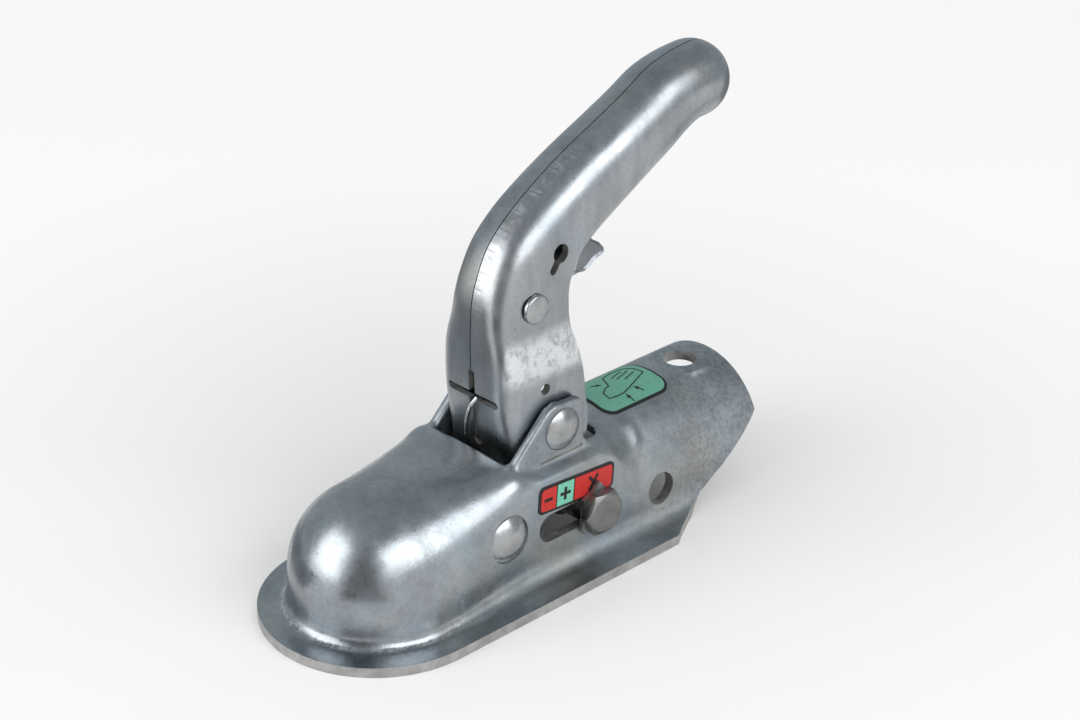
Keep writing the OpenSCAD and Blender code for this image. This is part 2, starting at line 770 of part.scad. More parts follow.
module slide_nut() {
    color("silver")
        translate([slide_x, washer_y + washer_t, slide_z])
        rotate([-90, 0, 0])
        difference() {
            hex_solid(nut_h);
            translate([0, 0, -1])
                cylinder(r = slide_bolt_r + fixed, h = nut_h + 2, $fn = 48);
        }
}

module slide_washer() {
    color("darkgray")
        translate([slide_x, washer_y, slide_z])
        tube_y(slide_bolt_r + 5, slide_bolt_r + fixed, 0, washer_t);
}

module slide_sleeve() {
    color("darkgray")
        translate([slide_x, 0, slide_z])
        tube_y(sleeve_r, slide_bolt_r + fixed, -yoke_in, yoke_in);
}

collar_r = 7;
module slide_collar(way) {
    color("gray")
        translate([slide_x, way > 0 ? yoke_out : -wall_in + side_gap, slide_z])
        tube_y(collar_r, slide_bolt_r + fixed, 0, wall_in - side_gap - yoke_out);
}
module slide_collar_near() {
    slide_collar(-1);
}
module slide_collar_far() {
    slide_collar(1);
}

// A slotted plate that the drive pin pushes along
yoke_slot_r = drive_pin_r + side_gap;
slot_low = pivot_z - crank_r - 0.3;
slot_high = drive_z + 0.3;
module yoke(way) {
    color("slategray")
        translate([0, way > 0 ? yoke_out : -yoke_in, 0])
        rotate([90, 0, 0])
        linear_extrude(yoke_t)
        difference() {
            union() {
                translate([slide_x, slide_z])
                    circle(sleeve_r + 1, $fn = 48);
                translate([drive_x, slot_low])
                    circle(yoke_slot_r + 2.9, $fn = 48);
                translate([drive_x, slot_high])
                    circle(yoke_slot_r + 2.9, $fn = 48);
                polygon([[drive_x - 7.2, slot_high], [slide_x - 9, slide_z],
                    [slide_x + 9, slide_z], [drive_x + 7.2, slot_high]]);
            }
            translate([slide_x, slide_z])
                circle(slide_bolt_r + fixed, $fn = 48);
            translate([drive_x, slot_low])
                circle(yoke_slot_r, $fn = 48);
            translate([drive_x, slot_high])
                circle(yoke_slot_r, $fn = 48);
            translate([drive_x - yoke_slot_r, slot_low])
                square([2*yoke_slot_r, slot_high - slot_low]);
        }
}
module yoke_near() {
    yoke(-1);
}
module yoke_far() {
    yoke(1);
}

// The pointer plate behind the bolt head, with its tip on the scale
pointer_outline = [[-8.2, -6], [-7.6, 6.2], [-3, 8.2], [0.4, 11.4], [2.8, 8.2], [7.2, 5.4],
    [7.6, -5], [4, -8.6], [0.6, -9], [-1, -11.6], [-3.4, -9], [-6, -8.6]];
module pointer_plate() {
    color("gray")
        translate([slide_x, -pointer_y, slide_z])
        rotate([90, 0, 0])
        linear_extrude(pointer_t)
        difference() {
            polygon(pointer_outline);
            circle(slide_bolt_r + fixed, $fn = 48);
        }
}

// Rounded rectangle about the origin
module round_rect(w, h, r) {
    union() {
        square([w - 2*r, h], center = true);
        square([w, h - 2*r], center = true);
        for (x = [-1, 1], y = [-1, 1])
            translate([x*(w/2 - r), y*(h/2 - r)])
                circle(r, $fn = 24);
    }
}

// The scale label lies on the near wall, seen from outside
scale_x = 68.4;
scale_z = 34.7;
scale_tilt = -4;
scale_edge = 1.1;
scale_line = 0.6;
minus_end = -10.4;
plus_end = -1.8;
mark_w = 1.2;
module on_wall(lift, t) {
    translate([scale_x, -wall_y - lift, scale_z])
        rotate([90, 0, 0])
        linear_extrude(t)
        rotate(scale_tilt)
        children();
}
module scale_field(x0, x1) {
    intersection() {
        round_rect(scale_w - 2*scale_edge, scale_h - 2*scale_edge, 1.6);
        translate([x0, -scale_h])
            square([x1 - x0, 2*scale_h]);
    }
}
module scale_label() {
    color("black")
        on_wall(0, film)
        round_rect(scale_w, scale_h, 2.4);
}
module scale_red() {
    color("firebrick")
        on_wall(film, ink)
        union() {
            scale_field(-scale_w, minus_end);
            scale_field(plus_end + scale_line, scale_w);
        }
}
module scale_green() {
    color("mediumaquamarine")
        on_wall(film, ink)
        scale_field(minus_end + scale_line, plus_end);
}
module stroke(x, y, w, angle) {
    translate([x, y])
        rotate(angle)
        square([w, mark_w], center = true);
}
module scale_marks() {
    color("black")
        on_wall(film + ink, ink)
        union() {
            stroke(-14.2, -0.1, 4, 0);
            stroke(-5.9, 0, 5, 0);
            stroke(-5.9, 0, 5, 90);
            stroke(8.2, 0, 7, 53);
            stroke(8.2, 0, 7, -50);
        }
}

// The top label is wrapped round the channel
info_x = 118.5;
info_y = 0.3;
info_edge = 1.1;
info_corner = 6;
module on_channel(lift, t) {
    intersection() {
        translate([info_x - info_w, 0, tube_z])
            rotate([0, 90, 0])
            difference() {
                cylinder(r = chan_r + lift + t, h = 2*info_w, $fn = 120);
                translate([0, 0, -1])
                    cylinder(r = chan_r + lift, h = 2*info_w + 2, $fn = 120);
            }
        translate([info_x, info_y, tube_z])
            linear_extrude(60)
            children();
    }
}
info_d = 2*chan_r*sin(info_arc/2);
module info_label() {
    color("black")
        on_channel(0, film)
        round_rect(info_w, info_d, info_corner);
}
module info_field() {
    color("mediumseagreen")
        on_channel(film, ink)
        round_rect(info_w - 2*info_edge, info_d - 2*info_edge, info_corner - info_edge);
}
// A plain outline of a head with three fingers and three arrows
info_line = 0.4;
info_head = [[13.8, -0.2], [3.2, -4.3], [-2.5, -6.2], [-6.3, -6.3], [-9.9, -5.8],
    [-9.3, -2.1], [-6.3, 0], [-3.8, 0.7], [-0.4, 7.2], [2.1, 8.7], [6.6, 9.4],
    [10, 9.1], [11.9, 8], [13.7, 4.9], [13.8, -0.2]];
info_fingers = [[[2, 4.9], [8.5, 6.9]], [[2.7, 2.6], [10.6, 5.2]],
    [[4.9, 0.5], [11.4, 2.6]]];
info_arrows = [[3.3, -5.2, 120], [-2.6, -7, 96], [-4.9, 3.3, -32]];
module info_path(points) {
    for (i = [0 : len(points) - 2])
        let (a = points[i], b = points[i + 1], d = b - a)
            translate((a + b)/2)
            rotate(atan2(d[1], d[0]))
            square([norm(d) + info_line, info_line], center = true);
}
module info_marks() {
    color("black")
        on_channel(film + ink, ink)
        union() {
            info_path(info_head);
            for (finger = info_fingers)
                info_path(finger);
            for (m = info_arrows)
                translate([m[0], m[1]])
                    rotate(m[2])
                    polygon([[0, 0], [-2.2, 0.9], [-2.2, info_line/2], [-4.4, info_line/2],
                        [-4.4, -info_line/2], [-2.2, -info_line/2], [-2.2, -0.9]]);
        }
}

housing();
lever();
lever_pin();
lever_bush();
lever_lock();
lever_lock_pin();
lever_lock_spring();
catch_wire();
drive_pin();
clamp_jaw();
clamp_pin();
clamp_spacer_near();
clamp_spacer_far();
clamp_spring();
spring_seat();
slide_bolt();
slide_nut();
slide_washer();
slide_sleeve();
slide_collar_near();
slide_collar_far();
yoke_near();
yoke_far();
pointer_plate();
scale_label();
scale_red();
scale_green();
scale_marks();
info_label();
info_field();
info_marks();
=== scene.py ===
"""Looks of the trailer coupling head: pressed housing, folded lever, finishes and studio."""
import math

import bmesh
import bpy
from mathutils import Matrix, Vector


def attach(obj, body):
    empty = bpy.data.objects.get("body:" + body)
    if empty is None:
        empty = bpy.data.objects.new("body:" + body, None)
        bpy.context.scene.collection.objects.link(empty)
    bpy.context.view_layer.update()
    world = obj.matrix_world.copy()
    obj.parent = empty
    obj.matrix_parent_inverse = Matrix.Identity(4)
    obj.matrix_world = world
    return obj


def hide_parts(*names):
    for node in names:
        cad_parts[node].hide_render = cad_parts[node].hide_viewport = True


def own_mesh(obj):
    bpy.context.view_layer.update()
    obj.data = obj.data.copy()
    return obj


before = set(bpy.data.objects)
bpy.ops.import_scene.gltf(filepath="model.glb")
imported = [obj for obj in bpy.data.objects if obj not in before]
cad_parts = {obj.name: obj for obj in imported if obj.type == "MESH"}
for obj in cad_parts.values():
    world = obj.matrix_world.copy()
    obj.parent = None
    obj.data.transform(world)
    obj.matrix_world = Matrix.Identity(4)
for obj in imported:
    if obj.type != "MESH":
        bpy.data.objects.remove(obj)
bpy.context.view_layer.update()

MM = 0.001
# Distances below which vertices are one, in metres: same places, and slivers of a cut
SAME = 1e-6
SLIVER = 2e-6

# Sizes of the housing, in millimetres
SHEET = 4.0
DOME_R = 32.0
BALL_Z = 18.0
DOME_TOP = 50.0
CHANNEL_R = 29.3
TUBE_Z = 17.5
CHANNEL_TOP = TUBE_Z + CHANNEL_R
WALL_Y = CHANNEL_R
FLANGE_R = 43.0
FLANGE_END = 109.0
FOOT_R = 7.0
REAR_END = 167.0
LIP_Z = 51.0
SHOULDER_Z = 47.0
WELL_FRONT, WELL_REAR = 42.6, 91.0
WELL_FRONT_R, WELL_REAR_R = 3.0, 6.0
EAR_IN, EAR_OUT = 19.0, 23.0
PIVOT = (67.0, 56.8)
CLAMP_PIN = (35.0, 27.0)
CLAMP_PIN_R = 5.0
CLAMP_HEAD_R = 9.3
CROSS_HOLE = (113.0, 16.5)
TOP_HOLE_X = 152.4
HOLE_R = 6.5
PAD_R = 11.5
PAD_Z = CHANNEL_TOP - 0.6
# Long hole for the slide: front end, rear end, height of its middle, half height
SLOT = (50.4, 83.6, 23.2, 5.6)
# Groove below the ear: the same four, and its depth
GROOVE = (56, 77, 46.9, 0.55)
GROOVE_DEEP = 0.5
# Past every outside of the piece, for cutters that go right through
ACROSS = (-50, 50)

# Sizes of the lever
LEVER_SHEET = 3.0
LEVER_HALF_W = 18.5
WAIST = 15.6
GRIP_R = 14.5
TIP_Z = 175.6
LOCK_RIVET = (60.0, 104.0)
DRIVE_PIN = (74.48, 39.99)
# Keyhole: its round end, and the radius, length and turn of its tail
KEYHOLE = (72.5, 121.0)
KEYHOLE_R = 3.6
KEY_TAIL_R, KEY_TAIL_LONG, KEY_TAIL_TURN = 1.6, 6.6, 235
# Cross slot in front: height, half length, half height; its upright arm and slit below it
CROSS_SLOT_Z, CROSS_HALF, CROSS_R = 69.4, 12.8, 1.5
UPRIGHT_HALF, UPRIGHT_BELOW, UPRIGHT_ABOVE = 1.6, 4, 10
SLIT_HALF, SLIT_LONG, NOTCH_R = 0.6, 19, 2
SMALL_HOLE = (62.8, 72.4, 2.2)
# Rear window for the catch: from and to along X, and across
WINDOW = (75, 106, -9.3, 9.3)

# Angles from which an edge stays sharp in the shading, in degrees
HOUSING_CREASE, LEVER_CREASE, SOFT_CREASE, RIVET_CREASE = 40, 35, 38, 42


def place(x, y, z):
    """A point given in millimetres."""
    return Vector((x, y, z)) * MM


def blend4(a, b, c, d, t):
    """Smooth curve through b and c at 0 to 1, led by a and d."""
    return tuple(
        (2 * q + (r - p) * t + (2 * p - 5 * q + 4 * r - s) * t * t
         + (3 * q - p - 3 * r + s) * t ** 3) / 2
        for p, q, r, s in zip(a, b, c, d)
    )


def row_at(rows, u):
    """The row of a table at the place u, between its rows too."""
    last = len(rows) - 1
    i = min(int(u), last - 1)
    return blend4(rows[max(i - 1, 0)], rows[i], rows[i + 1],
                  rows[min(i + 2, last)], u - i)


def signed_pow(v, e):
    """A power that keeps the sign, for squared-off rounds."""
    return math.copysign(abs(v) ** e, v)


def arc(cx, cy, r, a0, a1, n):
    """Points of an arc, angles in degrees."""
    return [(cx + r * math.cos(math.radians(a0 + (a1 - a0) * i / n)),
             cy + r * math.sin(math.radians(a0 + (a1 - a0) * i / n)))
            for i in range(n + 1)]


def chain(bm, points, closed=False):
    """Vertices at the points, joined by edges, in order."""
    verts = [bm.verts.new(p) for p in points]
    for a, b in zip(verts, verts[1:] + verts[:1] if closed else verts[1:]):
        bm.edges.new((a, b))
    return verts


def grow(bm, ring, places, closed=False):
    """Extrudes an ordered row of vertices once and moves the new row to the places."""
    pairs = list(zip(ring, ring[1:] + ring[:1] if closed else ring[1:]))
    edges = [bm.edges.get(pair) for pair in pairs]
    made = bmesh.ops.extrude_edge_only(bm, edges=edges)["geom"]
    new = {v for v in made if isinstance(v, bmesh.types.BMVert)}
    row = []
    for v in ring:
        twin = next(e.other_vert(v) for e in v.link_edges if e.other_vert(v) in new)
        row.append(twin)
    for v, p in zip(row, places):
        v.co = p
    return row


def finished(bm, name, smooth=True):
    """An object at the origin made of the bmesh."""
    bmesh.ops.recalc_face_normals(bm, faces=bm.faces)
    mesh = bpy.data.meshes.new(name)
    bm.to_mesh(mesh)
    bm.free()
    for p in mesh.polygons:
        p.use_smooth = smooth
    made = bpy.data.objects.new(name, mesh)
    bpy.context.scene.collection.objects.link(made)
    return made


def applied(obj):
    """Applies all modifiers of an object to its mesh."""
    graph = bpy.context.evaluated_depsgraph_get()
    graph.update()
    mesh = bpy.data.meshes.new_from_object(obj.evaluated_get(graph))
    old = obj.data
    obj.modifiers.clear()
    obj.data = mesh
    bpy.data.meshes.remove(old)
    return obj


def prism(name, outline, axis, low, high):
    """A closed solid: an outline in the plane across the axis, drawn from low to high."""
    bm = bmesh.new()
    if axis == "y":
        points = [place(u, low, v) for u, v in outline]
        step = place(0, high - low, 0)
    elif axis == "x":
        points = [place(low, u, v) for u, v in outline]
        step = place(high - low, 0, 0)
    else:
        points = [place(u, v, low) for u, v in outline]
        step = place(0, 0, high - low)
    face = bm.faces.new([bm.verts.new(p) for p in points])
    made = bmesh.ops.extrude_face_region(bm, geom=[face])["geom"]
    bmesh.ops.translate(bm, verts=[v for v in made if isinstance(v, bmesh.types.BMVert)],
                        vec=step)
    return finished(bm, name, smooth=False)


def disc(cx, cy, r, n=48):
    """Outline of a circle."""
    return arc(cx, cy, r, 0, 360 * (n - 1) / n, n - 1)


def long_hole(x0, x1, cy, r):
    """Outline of a slot with round ends."""
    return (arc(x1 - r, cy, r, -90, 90, 16) + arc(x0 + r, cy, r, 90, 270, 16))


def with_boolean(obj, other, operation, own_finish=False):
    """Adds a boolean modifier; with own_finish the new faces take the other's finish."""
    tool = obj.modifiers.new("cut", "BOOLEAN")
    tool.operation = operation
    tool.solver = "EXACT"
    tool.object = other
    if own_finish:
        tool.material_mode = "TRANSFER"
    return obj


def cut(obj, cutters, edge=None):
    """Takes the cutters out of the object and deletes them; edge is the cut faces' finish."""
    for cutter in cutters:
        if edge:
            cutter.data.materials.append(edge)
        with_boolean(obj, cutter, "DIFFERENCE", own_finish=True)
    applied(obj)
    for cutter in cutters:
        bpy.data.objects.remove(cutter)
    return obj


def without_slivers(obj):
    """Merges what lies closer than a sliver's width and takes out faces without area."""
    bm = bmesh.new()
    bm.from_mesh(obj.data)
    bmesh.ops.remove_doubles(bm, verts=bm.verts, dist=SLIVER)
    bmesh.ops.dissolve_degenerate(bm, dist=SLIVER, edges=bm.edges)
    bm.to_mesh(obj.data)
    bm.free()
    return obj


def smoothed(bm, times):
    """Relaxes the whole mesh a number of times."""
    for _ in range(times):
        bmesh.ops.smooth_vert(bm, verts=bm.verts, factor=0.5,
                              use_axis_x=True, use_axis_y=True, use_axis_z=True)


def shaded(obj, crease):
    """Smooth shading that keeps edges sharper than the crease."""
    for p in obj.data.polygons:
        p.use_smooth = True
    obj.data.set_sharp_from_angle(angle=math.radians(crease))
    return obj


def merged_copy(node):
    """A bmesh copy of a CAD piece with its loose triangles joined."""
    bm = bmesh.new()
    bm.from_mesh(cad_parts[node].data)
    bmesh.ops.remove_doubles(bm, verts=bm.verts, dist=SAME)
    return bm


def between(k):
    """Half width on the way from the side walls to the dome."""
    return WALL_Y + k * (DOME_R - WALL_Y)


# Housing sections: place, half width, fold height, top, squareness, foot radius
HOUSING_ROWS = [
    (0, DOME_R, BALL_Z, DOME_TOP, 2, 4.5),
    (8, between(0.92), BALL_Z + 2, DOME_TOP + 0.5, 2.05, 4.7),
    (16, between(0.74), BALL_Z + 5, DOME_TOP + 0.9, 2.15, 5.2),
    (25, between(0.48), BALL_Z + 9, LIP_Z + 0.2, 2.35, 6.0),
    (34, between(0.26), BALL_Z + 13, LIP_Z + 0.1, 2.75, 6.7),
    (WELL_FRONT - 1, between(0.04), 34, LIP_Z, 3.9, FOOT_R),
    (WELL_FRONT + 6, WALL_Y, 40, LIP_Z - 1.8, 2.7, FOOT_R),
    (WELL_FRONT + 11, WALL_Y, 42, SHOULDER_Z + 0.4, 2.2, FOOT_R),
    (78, WALL_Y, 42, SHOULDER_Z, 2.2, FOOT_R),
    (86, WALL_Y, 40, CHANNEL_TOP, 2.3, FOOT_R),
    (94, WALL_Y, 28, CHANNEL_TOP, 2.1, FOOT_R),
    (101, CHANNEL_R, TUBE_Z, CHANNEL_TOP, 2, FOOT_R),
    (108, CHANNEL_R, TUBE_Z, CHANNEL_TOP, 2, FOOT_R),
    (126, CHANNEL_R, TUBE_Z, CHANNEL_TOP, 2, FOOT_R),
    (REAR_END + 2, CHANNEL_R, TUBE_Z, CHANNEL_TOP, 2, FOOT_R),
]
# Sheet beyond the flange's edge that the outline trims off, in millimetres
SPARE = 1.5
FLANGE_STEPS, FOOT_STEPS, WALL_STEPS, CROWN_STEPS = 4, 8, 8, 26
NOSE_STEPS = 56
ROW_STEPS = 5


def half_section(row, inward=0.0):
    """Half of the housing across a row, from the flange edge to the crown."""
    _, half, fold, top, square, bend = row
    level = SHEET - inward
    reach = FLANGE_R - half - bend
    flange = [(FLANGE_R + SPARE - (reach + SPARE) * i / FLANGE_STEPS, level)
              for i in range(FLANGE_STEPS)]
    foot = arc(half + bend, SHEET + bend, bend + inward, 270, 180, FOOT_STEPS)
    low = SHEET + bend
    wall = [(half - inward, low + (fold - low) * i / WALL_STEPS)
            for i in range(1, WALL_STEPS)]
    crown = []
    for i in range(CROWN_STEPS):
        t = math.radians(90 * i / CROWN_STEPS)
        crown.append(((half - inward) * math.cos(t) ** (2 / square),
                      fold + (top - fold - inward) * math.sin(t) ** (2 / square)))
    return flange + foot + wall + crown + [(0.0, top - inward)]


def sheet_section(row):
    """The sheet's own section: down the outside from the crown and up the inside."""
    return half_section(row)[::-1] + half_section(row, SHEET)


def make_shell():
    """The pressed shell: a dome spun round the ball and a hood drawn on to the rear."""
    bm = bmesh.new()
    first = sheet_section(HOUSING_ROWS[0])
    last = len(first) - 1
    near = chain(bm, [place(0, -y, z) for y, z in first])
    bmesh.ops.spin(bm, geom=near + bm.edges[:], cent=(0, 0, 0), axis=(0, 0, 1),
                   angle=-math.pi, steps=NOSE_STEPS, use_duplicate=False)
    bmesh.ops.remove_doubles(bm, verts=bm.verts, dist=SAME)
    open_end = [v for v in bm.verts if abs(v.co.x) < SAME]

    def end_vertex(side, k):
        """The vertex at the open end that stands for a point of the section."""
        y, z = first[k]
        spot = place(0, side * y, z)
        return min(open_end, key=lambda v: (v.co - spot).length_squared)

    ring = [end_vertex(-1, k) for k in range(last + 1)]
    ring += [end_vertex(1, k) for k in range(last - 1, 0, -1)]
    steps = ROW_STEPS * (len(HOUSING_ROWS) - 1)
    for i in range(1, steps + 1):
        row = row_at(HOUSING_ROWS, i / ROW_STEPS)
        half = sheet_section(row)
        places = [place(row[0], -y, z) for y, z in half]
        places += [place(row[0], y, z) for y, z in half[-2:0:-1]]
        ring = grow(bm, ring, places, closed=True)
    bm.faces.new(ring)
    return finished(bm, "shell")


# Side view of an ear
EAR_TOP = PIVOT[1] + 10.4
EAR_REAR = PIVOT[0] + 11.3
EAR = ([(WELL_FRONT + 0.5, SHOULDER_Z - 3), (WELL_FRONT + 2.2, LIP_Z - 0.4)]
       + arc(PIVOT[0] - 1.9, EAR_TOP - 9.2, 9.2, 140, 95, 8)
       + arc(EAR_REAR - 4, EAR_TOP - 4.8, 4, 80, 0, 8)
       + arc(EAR_REAR + 5, SHOULDER_Z + 4, 5, 180, 262, 8)
       + [(EAR_REAR + 6, SHOULDER_Z - 3)])


def well_outline():
    """The well between the ears, from above."""
    front, rear = WELL_FRONT_R, WELL_REAR_R
    return (arc(WELL_FRONT + front, front - EAR_IN, front, 180, 270, 8)
            + arc(WELL_REAR - rear, rear - EAR_IN, rear, 270, 360, 12)
            + arc(WELL_REAR - rear, EAR_IN - rear, rear, 0, 90, 12)
            + arc(WELL_FRONT + front, EAR_IN - front, front, 90, 180, 8))


# Side view of what is cut off below the channel's rear end
TRIM = [(REAR_END - 43, -5), (REAR_END - 38, 3), (REAR_END - 33, 7),
        (REAR_END - 27, 9.8), (REAR_END - 20, 13.4), (REAR_END - 2, 27.4),
        (REAR_END + 3, 32), (REAR_END + 3, -5)]


def plan_outline():
    """The housing's outline from above."""
    side = [(FLANGE_END, FLANGE_R), (FLANGE_END + 6, WALL_Y + 9.9),
            (FLANGE_END + 13, WALL_Y + 6), (FLANGE_END + 19, WALL_Y + 3),
            (FLANGE_END + 25, WALL_Y + 0.8), (REAR_END, WALL_Y + 0.3)]
    return arc(0, 0, FLANGE_R, 90, 270, 96) + [(x, -y) for x, y in side] + side[::-1]


# Mesh size of the joined sheet, in millimetres, and how often it is relaxed
VOXEL = 1.0
FIRST_SMOOTH, LAST_SMOOTH = 3, 2
# What is lower than this is put back on the floor, in metres
UNDERSIDE = 0.0003
# Ledge at the shoulder's end: place, length, height, length of its drop, and the turns
# round the channel between which it stands, in degrees
LEDGE_X, LEDGE_LONG, LEDGE_HIGH, LEDGE_DROP = 108.0, 16.0, 1.3, 1.2
LEDGE_FROM, LEDGE_TO = 27, 62


def ease(t):
    """Smooth step from 0 to 1."""
    t = min(max(t, 0.0), 1.0)
    return t * t * (3 - 2 * t)


def ledge(x, y, z):
    """How far the shoulder's corner stands out of the channel where it runs out."""
    if z < TUBE_Z + 4:
        return 0.0
    turn = math.degrees(math.atan2(abs(y), z - TUBE_Z))
    end = LEDGE_X - 0.012 * (turn - 40) ** 2
    if not LEDGE_FROM < turn < LEDGE_TO or x > end + LEDGE_DROP:
        return 0.0
    along = ease((x - end + LEDGE_LONG) / LEDGE_LONG) * (1 - ease((x - end) / LEDGE_DROP))
    return LEDGE_HIGH * along * ease((turn - LEDGE_FROM) / 10) * ease((LEDGE_TO - turn) / 14)


def joined_shell():
    """The shell with its well, ears and pad, in one evenly meshed skin."""
    shell = make_shell()
    cut(shell, [prism("well", well_outline(), "z", SHOULDER_Z - 8, LIP_Z + 20)])
    added = [prism("ear", EAR, "y", *sorted((side * EAR_IN, side * EAR_OUT)))
             for side in (-1, 1)]
    added.append(prism("pad", disc(TOP_HOLE_X, 0, PAD_R), "z", PAD_Z - SHEET, PAD_Z))
    for other in added:
        with_boolean(shell, other, "UNION")
    applied(shell)
    for other in added:
        bpy.data.objects.remove(other)
    cut(shell, [prism("pad_top", disc(TOP_HOLE_X, 0, PAD_R), "z", PAD_Z, PAD_Z + 3)])
    remesh = shell.modifiers.new("even", "REMESH")
    remesh.mode = "VOXEL"
    remesh.voxel_size = VOXEL * MM
    return applied(shell)


def make_housing(skin, edge):
    """The pressed housing: the joined shell, relaxed, with its ledge, holes and edges."""
    shell = joined_shell()
    bm = bmesh.new()
    bm.from_mesh(shell.data)
    smoothed(bm, FIRST_SMOOTH)
    for v in bm.verts:
        x, y, z = (c / MM for c in v.co)
        out = ledge(x, y, z)
        if out:
            v.co += place(0, y, z - TUBE_Z).normalized() * out * MM
    smoothed(bm, LAST_SMOOTH)
    for v in bm.verts:
        if v.co.z < UNDERSIDE:
            v.co.z = 0.0
    bm.to_mesh(shell.data)
    bm.free()
    shell.data.materials.clear()
    shell.data.materials.append(skin)
    holes = [
        prism("top_hole", disc(TOP_HOLE_X, 0, HOLE_R), "z", 30, 60),
        prism("cross_hole", disc(*CROSS_HOLE, HOLE_R), "y", *ACROSS),
        prism("clamp_hole", disc(*CLAMP_PIN, CLAMP_PIN_R), "y", *ACROSS),
        prism("slots", long_hole(*SLOT), "y", *ACROSS),
    ]
    holes += [prism("groove", long_hole(*GROOVE), "y",
                    *sorted((side * (EAR_OUT + 0.1 - GROOVE_DEEP), side * (EAR_OUT + 3))))
              for side in (-1, 1)]
    holes.append(prism("trim", TRIM, "y", -FLANGE_R - 3, FLANGE_R + 3))
    cut(shell, holes, edge)
    keep = prism("plan", plan_outline(), "z", -5, 90)
    keep.data.materials.append(edge)
    applied(with_boolean(shell, keep, "INTERSECT", own_finish=True))
    bpy.data.objects.remove(keep)
    without_slivers(shell)
    shell.name = "pressed_housing"
    shell.data.name = "pressed_housing"
    return shaded(shell, HOUSING_CREASE)


# Lever sections: front point, back point, half width, squareness
LEVER_ROWS = [
    (50, 31, 90, 30, LEVER_HALF_W, 6),
    (47.6, 50, 92, 45, LEVER_HALF_W, 6),
    (45, 66, 92, 60, LEVER_HALF_W, 6),
    (44.1, 80, 90, 73, LEVER_HALF_W, 5.5),
    (43.8, 89, 88, 81, LEVER_HALF_W - 0.9, 5),
    (44, 98, 86, 89, WAIST + 0.3, 4),
    (44.6, 106, 85, 97, WAIST, 3.4),
    (47, 114.5, 85, 103, WAIST, 3),
    (52.3, 125, 87, 108, WAIST, 2.7),
    (62.5, 134.8, 89, 113, WAIST - 0.3, 2.6),
    (76, 143.8, 94.5, 117.5, WAIST - 0.6, 2.5),
    (90.1, 151.6, 105, 123.5, WAIST - 0.8, 2.4),
    (104, 158, 119, 131.5, WAIST - 1, 2.4),
    (117.9, 164.9, 133, 139, GRIP_R, 2.3),
    (129, 171, 140.5, 143.5, GRIP_R, 2.2),
    (140.5, 174.2, 147, TIP_Z - 2 * GRIP_R - 0.2, GRIP_R, 2.1),
    (151, TIP_Z, 152, TIP_Z - 2 * GRIP_R, GRIP_R, 2),
]
LEVER_POINTS = 72
LEVER_ROW_STEPS = 6
SEAM_HALF = 0.22
SEAM_DEPTH = 0.5
TIP_RINGS = 14


def lever_ring(row, ahead, seam):
    """One ring of the lever's outside; ahead is the angle round the tip."""
    fx, fz, bx, bz, half, square = row
    front, back = Vector((fx, fz)), Vector((bx, bz))
    middle = (front + back) / 2
    depth = (front - back).length / 2
    out = (front - back).normalized()
    along = Vector((out.y, -out.x))
    k, lift = math.cos(ahead), depth * math.sin(ahead)
    e = 2 / square
    ring = []
    for i in range(LEVER_POINTS):
        a = 2 * math.pi * i / LEVER_POINTS
        y = half * k * signed_pow(math.sin(a), e)
        v = depth * k * signed_pow(math.cos(a), e)
        if i == 0:
            v -= seam
        elif i in (1, LEVER_POINTS - 1):
            y = math.copysign(SEAM_HALF, y)
            v = depth * k
        c = middle + out * v + along * lift
        ring.append(place(c.x, y, c.y))
    return ring


def foot_outline():
    """Everything outside the side view of the lever's foot."""
    return ([(20, 10), (20, 44.5), (50, 44.5), (52, 42.8), (62, 38.6)]
            + arc(*DRIVE_PIN, 7, 215, 350, 12)
            + [(84.4, 50), (84.6, 56), (83.2, 62), (82.3, 70), (80.7, 80), (78.2, 90),
               (77.4, 96), (77.7, 104), (78.4, 108), (79.7, 111.4), (100, 107), (120, 90),
               (120, 10)])


def lever_sheet(skin, inside, gap):
    """The lever's folded sheet, closed round the tip, before anything is cut."""
    bm = bmesh.new()
    last = len(LEVER_ROWS) - 1
    ring = chain(bm, lever_ring(LEVER_ROWS[0], 0, SEAM_DEPTH), closed=True)
    for i in range(1, LEVER_ROW_STEPS * last + 1):
        row = row_at(LEVER_ROWS, i / LEVER_ROW_STEPS)
        ring = grow(bm, ring, lever_ring(row, 0, SEAM_DEPTH), True)
    for i in range(1, TIP_RINGS):
        angle = math.pi / 2 * i / TIP_RINGS
        seam = SEAM_DEPTH if i < TIP_RINGS * 2 // 3 else 0
        ring = grow(bm, ring, lever_ring(LEVER_ROWS[last], angle, seam), True)
    cap = bm.faces.new(ring)
    bmesh.ops.poke(bm, faces=[cap])
    lever = finished(bm, "folded_lever")
    wall = lever.modifiers.new("sheet", "SOLIDIFY")
    wall.thickness = LEVER_SHEET * MM
    wall.offset = -1
    # The inner side takes the second finish: the same steel painted dark for the shade inside
    # the lever
    wall.material_offset = 1
    for finish in (skin, inside, gap):
        lever.data.materials.append(finish)
    applied(lever)
    for p in lever.data.polygons:
        if all(abs(lever.data.vertices[i].co.y) < 1.2 * SEAM_HALF * MM for i in p.vertices):
            p.material_index = 2
    return lever


def box_outline(u0, u1, v0, v1):
    """Outline of a rectangle."""
    return [(u0, v0), (u1, v0), (u1, v1), (u0, v1)]


